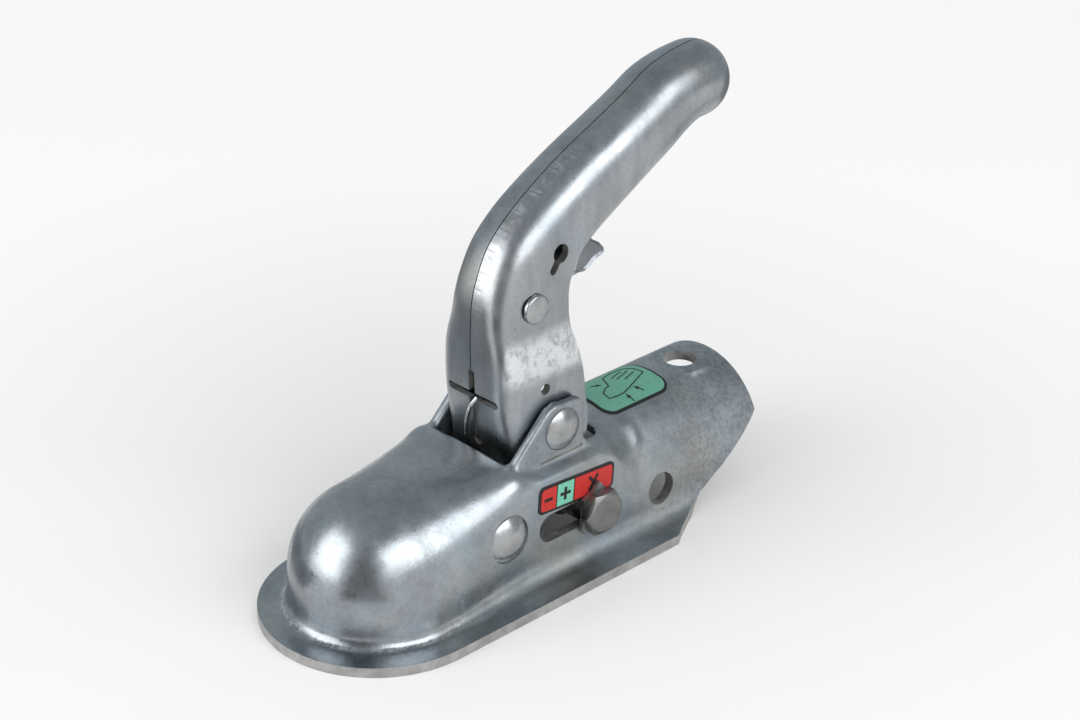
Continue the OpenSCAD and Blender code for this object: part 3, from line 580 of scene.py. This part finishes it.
def make_lever(skin, inside, edge, gap):
    """The folded lever with its window, slots and keyholes."""
    lever = lever_sheet(skin, inside, gap)
    slit_end = CROSS_SLOT_Z - SLIT_LONG
    through = (-30, 30)
    front_wall = (40, 52)
    slope = math.radians(KEY_TAIL_TURN)
    tail = Vector((math.cos(slope), math.sin(slope)))
    side = Vector((-tail.y, tail.x)) * KEY_TAIL_R
    near = Vector(KEYHOLE)
    far = near + tail * KEY_TAIL_LONG
    cutters = [
        prism("foot", foot_outline(), "y", *through),
        prism("window", box_outline(*WINDOW), "z", 100, 129),
        prism("cross", long_hole(-CROSS_HALF, CROSS_HALF, CROSS_SLOT_Z, CROSS_R), "x",
              *front_wall),
        prism("upright", box_outline(-UPRIGHT_HALF, UPRIGHT_HALF, CROSS_SLOT_Z - UPRIGHT_BELOW,
                                     CROSS_SLOT_Z + UPRIGHT_ABOVE), "x", *front_wall),
        prism("slit", box_outline(-SLIT_HALF, SLIT_HALF, slit_end, CROSS_SLOT_Z), "x", 40, 55),
        prism("notch", disc(0, slit_end, NOTCH_R, 24), "x", 40, 55),
        prism("key_round", disc(*KEYHOLE, KEYHOLE_R, 32), "y", *through),
        prism("key_end", disc(*far, KEY_TAIL_R, 24), "y", *through),
        prism("key_tail", [tuple(near + side), tuple(far + side), tuple(far - side),
                           tuple(near - side)], "y", *through),
        prism("small_hole", disc(*SMALL_HOLE, 24), "y", *through),
    ]
    cut(lever, cutters, edge)
    return shaded(without_slivers(lever), LEVER_CREASE)


# Turn from which an edge is rounded off, in degrees
ROUNDED_FROM = 30


def softened(name, node, width, dish=0.0):
    """A copy of a CAD piece with its edges rounded, and its outer sides dished if asked."""
    bm = merged_copy(node)
    bmesh.ops.dissolve_limit(bm, angle_limit=math.radians(1), verts=bm.verts, edges=bm.edges)
    if dish:
        reach = max(abs(v.co.y) for v in bm.verts) - 0.01 * MM
        for side in (-1, 1):
            faces = [f for f in bm.faces if side * f.normal.y > 0.99
                     and side * f.calc_center_median().y > reach]
            bmesh.ops.inset_region(bm, faces=faces, thickness=dish * MM, depth=-dish * MM,
                                   use_boundary=True, use_even_offset=True)
    sharp = [e for e in bm.edges
             if e.is_manifold and e.calc_face_angle() > math.radians(ROUNDED_FROM)]
    bmesh.ops.bevel(bm, geom=sharp, offset=width * MM, offset_type="OFFSET", affect="EDGES",
                    segments=3, profile=0.5, material=-1, clamp_overlap=True)
    return shaded(without_slivers(finished(bm, name)), SOFT_CREASE)


# Faces of a rivet's head from its middle to its rim, and round it
DOME_STEPS, RIVET_SIDES = 12, 64


def make_rivet(name, at, shank_r, head_r, head_h, half, rim):
    """A rivet along Y: a domed head with a low upright rim on each end of its shank."""
    high = head_h - rim
    edge = head_r - 0.35
    ball = (edge * edge + high * high) / (2 * high)
    sweep = math.asin(edge / ball)
    dome = [(ball * math.sin(sweep * i / DOME_STEPS),
             head_h - ball + ball * math.cos(sweep * i / DOME_STEPS))
            for i in range(DOME_STEPS + 1)]
    head = dome + [(head_r - 0.1, rim - 0.25), (head_r, rim - 0.6), (head_r, 0.0),
                   (shank_r, 0.0)]
    outline = ([(r, half + h) for r, h in head] + [(r, -half - h) for r, h in head[::-1]])
    bm = bmesh.new()
    x, z = at
    chain(bm, [place(x + r, y, z) for r, y in outline])
    bmesh.ops.spin(bm, geom=bm.verts[:] + bm.edges[:], cent=place(x, 0, z), axis=(0, 1, 0),
                   angle=2 * math.pi, steps=RIVET_SIDES, use_merge=True,
                   use_duplicate=False)
    bmesh.ops.remove_doubles(bm, verts=bm.verts, dist=SAME)
    return shaded(finished(bm, name), RIVET_CREASE)


def dress(piece, node, body, finish=None):
    """Puts a finished piece in the place of its CAD node."""
    if finish:
        piece.data.materials.append(finish)
    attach(piece, body)
    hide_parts(node)


# Materials
def node_material(name):
    """A new material: itself, its nodes, its shader and the coordinates."""
    mat = bpy.data.materials.new(name)
    mat.use_nodes = True
    tree = mat.node_tree
    shader = tree.nodes["Principled BSDF"]
    coords = tree.nodes.new("ShaderNodeTexCoord")
    return mat, tree, shader, coords


def noise(tree, coords, scale, detail, rough, stretch=None):
    """Noise fixed to the piece; stretch below 1 along an axis draws it out."""
    source = coords.outputs["Object"]
    if stretch:
        mapping = tree.nodes.new("ShaderNodeMapping")
        mapping.inputs["Scale"].default_value = stretch
        tree.links.new(source, mapping.inputs["Vector"])
        source = mapping.outputs["Vector"]
    tex = tree.nodes.new("ShaderNodeTexNoise")
    tex.inputs["Scale"].default_value = scale
    tex.inputs["Detail"].default_value = detail
    tex.inputs["Roughness"].default_value = rough
    tree.links.new(source, tex.inputs["Vector"])
    return tex.outputs["Fac"]


def ramp(tree, source, stops):
    """Colour ramp; a stop's colour may be a grey level."""
    made = tree.nodes.new("ShaderNodeValToRGB")
    tree.links.new(source, made.inputs["Fac"])
    colours = made.color_ramp
    while len(colours.elements) < len(stops):
        colours.elements.new(0.5)
    for element, (at, colour) in zip(colours.elements, stops):
        element.position = at
        if not isinstance(colour, tuple):
            colour = (colour,) * 3
        element.color = (*colour, 1)
    return made.outputs["Color"]


def places_along(tree, coords):
    """The piece's x, y and z."""
    split = tree.nodes.new("ShaderNodeSeparateXYZ")
    tree.links.new(coords.outputs["Object"], split.inputs[0])
    return split.outputs


def rising(tree, coords, axis, low, high):
    """From 0 at the low place to 1 at the high place along an axis, in metres."""
    made = tree.nodes.new("ShaderNodeMapRange")
    made.interpolation_type = "SMOOTHSTEP"
    made.inputs["From Min"].default_value = low
    made.inputs["From Max"].default_value = high
    tree.links.new(places_along(tree, coords)[axis], made.inputs["Value"])
    return made.outputs["Result"]


def mixed(tree, kind, amount, a, b):
    """Colour mix; amount, a and b are values or other nodes' outputs."""
    made = tree.nodes.new("ShaderNodeMix")
    made.data_type = "RGBA"
    made.blend_type = kind
    made.clamp_result = True
    if isinstance(amount, float):
        made.inputs[0].default_value = amount
    else:
        tree.links.new(amount, made.inputs[0])
    for socket, value in ((made.inputs[6], a), (made.inputs[7], b)):
        if isinstance(value, tuple):
            socket.default_value = (*value, 1)
        else:
            tree.links.new(value, socket)
    return made.outputs[2]


def bump(tree, shader, height, strength, distance):
    """Relief from a height, in the shader's normal."""
    made = tree.nodes.new("ShaderNodeBump")
    made.inputs["Strength"].default_value = strength
    made.inputs["Distance"].default_value = distance
    tree.links.new(height, made.inputs["Height"])
    tree.links.new(made.outputs["Normal"], shader.inputs["Normal"])


def worked_out(tree, kind, a, b=None):
    """One step of arithmetic on values or other nodes' outputs."""
    made = tree.nodes.new("ShaderNodeMath")
    made.operation = kind
    for socket, value in zip(made.inputs, (a, b)):
        if isinstance(value, (int, float)):
            socket.default_value = value
        elif value is not None:
            tree.links.new(value, socket)
    return made.outputs[0]


def product(tree, first, *others):
    """The factors multiplied in order."""
    for other in others:
        first = worked_out(tree, "MULTIPLY", first, other)
    return first


def one_less(tree, value):
    """One less the value."""
    return worked_out(tree, "SUBTRACT", 1.0, value)


def band(tree, off, half):
    """From 1 in the middle of a band to 0 at its edges."""
    share = one_less(tree, worked_out(tree, "DIVIDE", off, half))
    return worked_out(tree, "MAXIMUM", share, 0.0)


# Places of the wear, and of the painted highlight on the lever's flare, in metres
RING_R, RING_HALF, RING_TOP, RING_REAR = 0.0342, 0.0011, 0.014, 0.012
STRIP_Y, STRIP_HALF = 0.003, 0.0042
STRIP_RISE, STRIP_END = (0.098, 0.112), (0.078, 0.100)
FLARE_SIDE, FLARE_RISE, FLARE_END = (0.0142, 0.0155), (0.074, 0.081), (0.089, 0.096)
# From where to where the glossy dome passes into the duller rear, in metres
DOME_END = (0.030, 0.055)


def rubbed_ring(tree, coords):
    """Where the dome's foot is rubbed: a broken ring in front."""
    x, y, z = places_along(tree, coords)
    far = worked_out(tree, "SQRT", worked_out(tree, "ADD", product(tree, x, x),
                                              product(tree, y, y)))
    off = worked_out(tree, "ABSOLUTE", worked_out(tree, "SUBTRACT", far, RING_R))
    low = worked_out(tree, "LESS_THAN", z, RING_TOP)
    front = worked_out(tree, "LESS_THAN", x, RING_REAR)
    patchy = ramp(tree, noise(tree, coords, 130, 3, 0.6), [(0.36, 0.15), (0.58, 1.0)])
    return product(tree, band(tree, off, RING_HALF), product(tree, low, front, patchy))


def ground_strip(tree, coords):
    """Where the lever's seam was dressed with a grinder: a strip beside it on the bend."""
    y = places_along(tree, coords)["Y"]
    off = worked_out(tree, "ABSOLUTE", worked_out(tree, "ADD", y, STRIP_Y))
    patchy = ramp(tree, noise(tree, coords, 240, 3, 0.6), [(0.40, 0.1), (0.56, 1.0)])
    low = rising(tree, coords, "Z", *STRIP_RISE)
    ahead = one_less(tree, rising(tree, coords, "X", *STRIP_END))
    return product(tree, band(tree, off, STRIP_HALF), product(tree, low, ahead, patchy))


def flare_painted_highlight(tree, coords):
    """Painted highlight where the lever's sides flare out to its foot: a bright patch mottled
    like sand.
    """
    inner, outer = FLARE_SIDE
    sides = worked_out(tree, "MAXIMUM", rising(tree, coords, "Y", inner, outer),
                       one_less(tree, rising(tree, coords, "Y", -outer, -inner)))
    sandy = ramp(tree, noise(tree, coords, 260, 4, 0.7), [(0.34, 0.25), (0.54, 1.0)])
    return product(tree, sides, rising(tree, coords, "Z", *FLARE_RISE),
                   one_less(tree, rising(tree, coords, "Z", *FLARE_END)), sandy)


def zinc_steel(name, pale, dark, warm, cool, rough, drawn=(1, 1, 1), sandy=None,
               ground_and_highlight=False):
    """Zinc-plated sheet: cloudy patches, warm and blue tints, drawing marks and fine pits.

    sandy gives where along X the sheet turns sandy to the rear; the last flag adds the
    lever's dressed seam, and a painted highlight on its flare.
    """
    mat, tree, shader, coords = node_material(name)
    shader.inputs["Metallic"].default_value = 1.0
    base = ramp(tree, noise(tree, coords, 42, 5, 0.62, drawn), [(0.32, dark), (0.64, pale)])
    base = mixed(tree, "MIX", ramp(tree, noise(tree, coords, 23, 3, 0.55),
                                   [(0.50, 0.0), (0.72, 0.6)]), base, warm)
    base = mixed(tree, "MIX", ramp(tree, noise(tree, coords, 31, 3, 0.6, (1, 1.4, 1)),
                                   [(0.54, 0.0), (0.76, 0.7)]), base, cool)
    streak = noise(tree, coords, 260, 2, 0.6, tuple(0.12 if d < 1 else 1.0 for d in drawn))
    base = mixed(tree, "MULTIPLY", 0.6, base,
                 ramp(tree, streak, [(0.30, 0.82), (0.55, 1.0)]))
    speck = 0.30
    if sandy:
        speck = ramp(tree, rising(tree, coords, "X", *sandy), [(0.0, 0.30), (1.0, 0.85)])
    base = mixed(tree, "MULTIPLY", speck, base,
                 ramp(tree, noise(tree, coords, 620, 3, 0.7), [(0.34, 0.66), (0.56, 1.0)]))
    if sandy:
        rub = ramp(tree, noise(tree, coords, 520, 3, 0.7),
                   [(0.38, (0.20, 0.21, 0.22)), (0.56, (0.62, 0.64, 0.66))])
        base = mixed(tree, "MIX", rubbed_ring(tree, coords), base, rub)
    if ground_and_highlight:
        # Painted highlight: the flare's sides are made pale where the bend would catch the
        # light
        base = mixed(tree, "MIX", flare_painted_highlight(tree, coords), base, (0.72, 0.75, 0.77))
        scraped = ramp(tree, noise(tree, coords, 900, 2, 0.6, (1, 0.12, 1)),
                       [(0.36, (0.26, 0.27, 0.29)), (0.60, (0.66, 0.69, 0.71))])
        base = mixed(tree, "MIX", ground_strip(tree, coords), base, scraped)
    pits = noise(tree, coords, 420, 2, 0.5)
    base = mixed(tree, "MULTIPLY", 0.55, base, ramp(tree, pits, [(0.22, 0.35), (0.29, 1.0)]))
    tree.links.new(base, shader.inputs["Base Color"])
    haze = noise(tree, coords, 75, 5, 0.65, drawn)
    level = ramp(tree, haze, [(0.32, rough[0]), (0.68, rough[1])])
    if sandy:
        coarse = ramp(tree, haze, [(0.32, rough[0] + 0.12), (0.68, rough[1] + 0.16)])
        level = mixed(tree, "MIX", rising(tree, coords, "X", *DOME_END), level, coarse)
    tree.links.new(level, shader.inputs["Roughness"])
    fine = noise(tree, coords, 1100, 3, 0.6)
    wave = product(tree, noise(tree, coords, 55, 2, 0.5), 1.2)
    bump(tree, shader, worked_out(tree, "ADD", wave, fine), 0.14, 0.0002)
    return mat


# Share of their colour that the darkest spots of plain metal and of film keep
METAL_DIM, FILM_DIM = 0.72, 0.86


def plain_metal(name, colour, rough, grain=0.1, scale=900):
    """Metal of one colour, faintly clouded; grain is the strength of its relief."""
    mat, tree, shader, coords = node_material(name)
    shader.inputs["Metallic"].default_value = 1.0
    cloud = noise(tree, coords, 160, 4, 0.6)
    dim = tuple(c * METAL_DIM for c in colour)
    tree.links.new(ramp(tree, cloud, [(0.32, dim), (0.66, colour)]),
                   shader.inputs["Base Color"])
    haze = noise(tree, coords, 300, 3, 0.6)
    tree.links.new(ramp(tree, haze, [(0.3, rough * 0.75), (0.7, rough * 1.25)]),
                   shader.inputs["Roughness"])
    bump(tree, shader, noise(tree, coords, scale, 3, 0.5), grain, 0.0002)
    return mat


def film(name, colour):
    """Printed label film, finely speckled."""
    mat, tree, shader, coords = node_material(name)
    speck = noise(tree, coords, 700, 3, 0.7)
    dim = tuple(c * FILM_DIM for c in colour)
    tree.links.new(ramp(tree, speck, [(0.34, dim), (0.5, colour)]),
                   shader.inputs["Base Color"])
    shader.inputs["Roughness"].default_value = 0.45
    shader.inputs["Specular IOR Level"].default_value = 0.25
    bump(tree, shader, speck, 0.05, 0.0001)
    return mat


housing_steel = zinc_steel("housing_steel", (0.40, 0.435, 0.46), (0.27, 0.295, 0.32),
                           (0.40, 0.385, 0.34), (0.33, 0.40, 0.46), (0.20, 0.34),
                           sandy=(0.100, 0.145))
# The lever's steel also carries the painted highlight on its flare
lever_steel = zinc_steel("lever_steel", (0.41, 0.44, 0.465), (0.29, 0.31, 0.335),
                         (0.41, 0.395, 0.355), (0.34, 0.40, 0.45), (0.24, 0.38),
                         (1, 1, 0.35), ground_and_highlight=True)
seam_dark = plain_metal("seam_dark", (0.05, 0.05, 0.055), 0.7)
# Painted shade: the lever's inside is the same steel as its outside, darkened to stand for the
# shade in it
inner_painted_shade = plain_metal("inner_painted_shade", (0.15, 0.16, 0.17), 0.6)
lock_steel = plain_metal("lock_steel", (0.25, 0.27, 0.29), 0.34, 0.2, 500)
cut_edge = plain_metal("cut_edge", (0.50, 0.50, 0.49), 0.62, 0.3, 500)
rivet_steel = plain_metal("rivet_steel", (0.43, 0.44, 0.45), 0.26, 0.12, 240)
bolt_steel = plain_metal("bolt_steel", (0.25, 0.25, 0.245), 0.40, 0.5, 420)
pointer_steel = plain_metal("pointer_steel", (0.34, 0.34, 0.335), 0.48, 0.2, 500)
brushed_steel = plain_metal("brushed_steel", (0.42, 0.42, 0.41), 0.40, 0.25, 500)
dark_steel = plain_metal("dark_steel", (0.26, 0.27, 0.29), 0.42)
spring_steel = plain_metal("spring_steel", (0.32, 0.32, 0.33), 0.3)
wire_steel = plain_metal("wire_steel", (0.56, 0.57, 0.58), 0.24)
label_black = film("label_black", (0.018, 0.017, 0.016))
label_red = film("label_red", (0.56, 0.032, 0.026))
label_green = film("label_green", (0.19, 0.56, 0.40))
top_green = film("top_green", (0.13, 0.37, 0.28))

NODE_MATERIALS = {
    "lever_pin": rivet_steel, "lever_lock_pin": rivet_steel, "clamp_pin": rivet_steel,
    "lever_bush": dark_steel, "lever_lock": lock_steel, "lever_lock_spring": spring_steel,
    "catch_wire": wire_steel, "drive_pin": dark_steel, "clamp_jaw": brushed_steel,
    "clamp_spacer_near": dark_steel, "clamp_spacer_far": dark_steel,
    "clamp_spring": spring_steel, "spring_seat": dark_steel, "slide_bolt": bolt_steel,
    "slide_nut": bolt_steel, "slide_washer": bolt_steel, "slide_sleeve": dark_steel,
    "slide_collar_near": dark_steel, "slide_collar_far": dark_steel,
    "yoke_near": dark_steel, "yoke_far": dark_steel, "pointer_plate": pointer_steel,
    "scale_label": label_black, "scale_red": label_red, "scale_green": label_green,
    "scale_marks": label_black, "info_label": label_black, "info_field": top_green,
    "info_marks": label_black, "housing": housing_steel, "lever": lever_steel,
}
for node, mat in NODE_MATERIALS.items():
    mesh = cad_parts[node].data
    mesh.materials.clear()
    mesh.materials.append(mat)

dress(make_housing(housing_steel, cut_edge), "housing", "housing")
dress(make_lever(lever_steel, inner_painted_shade, cut_edge, seam_dark), "lever", "lever")

# Rivets: name, node, body, place, then shank radius, head radius, head height, half
# length and the height of the head's upright rim
RIVETS = (
    ("pivot_rivet", "lever_pin", "housing", PIVOT, (6.0, 8.1, 3.4, EAR_OUT, 0.7)),
    ("clamp_rivet", "clamp_pin", "housing", CLAMP_PIN,
     (CLAMP_PIN_R, CLAMP_HEAD_R, 4.2, WALL_Y + 0.2, 0.7)),
    ("lock_rivet", "lever_lock_pin", "lever", LOCK_RIVET, (3.0, 5.5, 2.4, WAIST + 0.1, 1.5)),
)
for name, node, body, at, sizes in RIVETS:
    dress(make_rivet(name, at, *sizes), node, body, rivet_steel)
dress(softened("bolt_rounded", "slide_bolt", 0.9), "slide_bolt", "slide",
      bolt_steel)
dress(softened("lock_pressed", "lever_lock", 0.3, dish=0.9), "lever_lock", "lock",
      lock_steel)

# The pressure spring between its seat and the jaw: a joined copy of the CAD coil that rides
# with the slide
coil = finished(merged_copy("clamp_spring"), "pressure_spring")
dress(coil, "clamp_spring", "slide", spring_steel)
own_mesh(coil)


# Floor, world, lamps and camera, all in metres
CENTRE = Vector((0.06, 0, 0.07))
FLOOR_HALF = 6.0
# Distances between which the floor clears to the bright backdrop, and how much it clears
CLEAR_FROM, CLEAR_TO, CLEAR_SHARE = 0.08, 0.40, 0.75
WORLD_LIGHT = 0.6


def backdrop_share(tree):
    """1 for what the camera, mirrors and glass see, 0 for the light on the object."""
    path = tree.nodes.new("ShaderNodeLightPath").outputs
    mirrored = worked_out(tree, "MAXIMUM", path["Is Glossy Ray"],
                          path["Is Transmission Ray"])
    return worked_out(tree, "MAXIMUM", path["Is Camera Ray"], mirrored)


def joined_shaders(tree, share, first, second, end):
    """Mixes two shaders by the share into the end's surface."""
    both = tree.nodes.new("ShaderNodeMixShader")
    for source, socket in zip((share, first.outputs[0], second.outputs[0]), both.inputs):
        tree.links.new(source, socket)
    tree.links.new(both.outputs[0], end.inputs["Surface"])


def plain_light(tree, kind, tone, strength=1.0):
    """An emission or background node of one tone."""
    made = tree.nodes.new(kind)
    made.inputs["Color"].default_value = (*tone, 1)
    made.inputs["Strength"].default_value = strength
    return made


def make_floor():
    """The pale floor, brighter away from the object, with the object's shadow on it."""
    bm = bmesh.new()
    bmesh.ops.create_grid(bm, x_segments=1, y_segments=1, size=FLOOR_HALF)
    floor = finished(bm, "floor", smooth=False)
    mat, tree, shader, coords = node_material("floor_white")
    shader.inputs["Base Color"].default_value = (0.9, 0.9, 0.9, 1)
    shader.inputs["Roughness"].default_value = 0.9
    reach = tree.nodes.new("ShaderNodeVectorMath")
    reach.operation = "DISTANCE"
    tree.links.new(coords.outputs["Object"], reach.inputs[0])
    reach.inputs[1].default_value = (CENTRE.x, 0.0, 0.0)
    away = tree.nodes.new("ShaderNodeMapRange")
    away.interpolation_type = "SMOOTHSTEP"
    away.inputs["From Min"].default_value = CLEAR_FROM
    away.inputs["From Max"].default_value = CLEAR_TO
    away.inputs["To Max"].default_value = CLEAR_SHARE
    tree.links.new(reach.outputs["Value"], away.inputs["Value"])
    joined_shaders(tree, product(tree, backdrop_share(tree), away.outputs["Result"]), shader,
                   plain_light(tree, "ShaderNodeEmission", (1, 1, 1)),
                   tree.nodes["Material Output"])
    floor.data.materials.append(mat)


def make_world():
    """Soft light all round, seen as plain white."""
    world = bpy.data.worlds.new("studio")
    bpy.context.scene.world = world
    world.use_nodes = True
    tree = world.node_tree
    tree.nodes.clear()
    joined_shaders(tree, backdrop_share(tree),
                   plain_light(tree, "ShaderNodeBackground", (1, 1, 1), WORLD_LIGHT),
                   plain_light(tree, "ShaderNodeBackground", (1, 1, 1)),
                   tree.nodes.new("ShaderNodeOutputWorld"))


# Lamps: turn from +X and rise in degrees, as seen from the middle of the object, then
# distance, width and height, and watts
LAMPS = (("softbox_near", -90, 37, 1.3, 1.35, 0.75, 8.6),
         ("softbox_left", 160, 22, 1.3, 0.95, 1.05, 8))


def softbox(name, turn, rise, far, wide, tall, watts):
    """A rectangular lamp that looks at the object's middle."""
    a, e = math.radians(turn), math.radians(rise)
    spot = CENTRE + far * Vector((math.cos(a) * math.cos(e), math.sin(a) * math.cos(e),
                                  math.sin(e)))
    data = bpy.data.lights.new(name, "AREA")
    data.energy = watts
    data.shape = "RECTANGLE"
    data.size = wide
    data.size_y = tall
    obj = bpy.data.objects.new(name, data)
    bpy.context.scene.collection.objects.link(obj)
    obj.location = spot
    obj.rotation_mode = "QUATERNION"
    obj.rotation_quaternion = (CENTRE - spot).to_track_quat("-Z", "Y")


def card_tone(name, tone):
    """The plain tone of a studio panel or cloth."""
    mat = bpy.data.materials.new(name)
    mat.use_nodes = True
    tree = mat.node_tree
    tree.nodes.clear()
    glow = plain_light(tree, "ShaderNodeEmission", tone)
    end = tree.nodes.new("ShaderNodeOutputMaterial")
    tree.links.new(glow.outputs[0], end.inputs["Surface"])
    return mat


def only_mirrored(card):
    """Makes a studio card seen in reflections alone."""
    card.visible_camera = False
    card.visible_diffuse = False
    card.visible_shadow = False


# Round tent of panels: its size, and from which height above the middle it is roof
TENT_R, TENT_H, TENT_SIDES, TENT_LIFT = 2.0, 2.2, 36, 0.05
ROOF_FROM = 1.5
# Panels: turn from and to in degrees, tone
PANELS = (("panel_dark", -180, -130, (0.22, 0.23, 0.24)),
          ("panel_right", -60, 20, (0.46, 0.49, 0.50)),
          ("panel_back", 20, 130, (0.47, 0.52, 0.55)))
ROOF_TONE = (0.40, 0.43, 0.45)


def panel_at(spot):
    """The number of the panel at a spot of the tent, or None where the tent is open."""
    turn = math.degrees(math.atan2(spot.y, spot.x))
    if spot.z > ROOF_FROM:
        return len(PANELS)
    if spot.z > 0:
        for number, (_, first, last, _) in enumerate(PANELS):
            if first < turn < last:
                return number
    return None


def make_panels():
    """Grey panels above the object and round three sides of it, for its reflections."""
    bm = bmesh.new()
    middle = (CENTRE.x, 0, TENT_H / 2 + TENT_LIFT)
    bmesh.ops.create_cone(bm, cap_ends=True, segments=TENT_SIDES, radius1=TENT_R,
                          radius2=TENT_R, depth=TENT_H, matrix=Matrix.Translation(middle))
    open_sides = []
    for f in bm.faces:
        number = panel_at(f.calc_center_median() - CENTRE)
        if number is None:
            open_sides.append(f)
        else:
            f.material_index = number
    bmesh.ops.delete(bm, geom=open_sides, context="FACES")
    tent = finished(bm, "panels", smooth=False)
    for name, _, _, tone in PANELS:
        tent.data.materials.append(card_tone(name, tone))
    tent.data.materials.append(card_tone("panel_roof", ROOF_TONE))
    only_mirrored(tent)


# Dark cloths on the table round the object, outside its own shadow: turn from and to in
# degrees, nearest and farthest radius, tone
CLOTHS = (("cloth_front", 186, 230, 0.17, 0.90, (0.17, 0.18, 0.19)),
          ("cloth_left", 108, 162, 0.12, 0.80, (0.27, 0.29, 0.31)),
          ("cloth_rear", -22, 108, 0.30, 1.90, (0.30, 0.32, 0.33)))
CLOTH_Z = 0.0006


def make_cloth(name, first, last, near, far, tone):
    """One cloth: a part of a flat ring."""
    rims = [[(CENTRE.x + x, y, CLOTH_Z) for x, y in arc(0, 0, r, first, last, 24)]
            for r in (near, far)]
    bm = bmesh.new()
    grow(bm, chain(bm, rims[0]), rims[1])
    cloth = finished(bm, name, smooth=False)
    cloth.data.materials.append(card_tone(name, tone))
    only_mirrored(cloth)


make_floor()
make_world()
for lamp in LAMPS:
    softbox(*lamp)
make_panels()
for cloth in CLOTHS:
    make_cloth(*cloth)

# The camera at the photograph's viewpoint: lens and sensor in millimetres, its place, and
# its own three axes
LENS, SENSOR_WIDTH = 80, 36
CAMERA_AT = (-0.45522, -0.55212, 0.47337)
CAMERA_RIGHT = (0.72323875, -0.69051715, 0.01057204)
CAMERA_UP = (0.3134727, 0.34189091, 0.88591505)
CAMERA_BACK = (-0.61535402, -0.63741405, 0.46372703)
cam_data = bpy.data.cameras.new("camera")
cam_data.lens = LENS
cam_data.sensor_width = SENSOR_WIDTH
camera = bpy.data.objects.new("camera", cam_data)
bpy.context.scene.collection.objects.link(camera)
turn = Matrix((CAMERA_RIGHT, CAMERA_UP, CAMERA_BACK)).transposed().to_4x4()
camera.matrix_world = Matrix.Translation(CAMERA_AT) @ turn
bpy.context.scene.camera = camera
bpy.context.scene.view_settings.view_transform = "Standard"
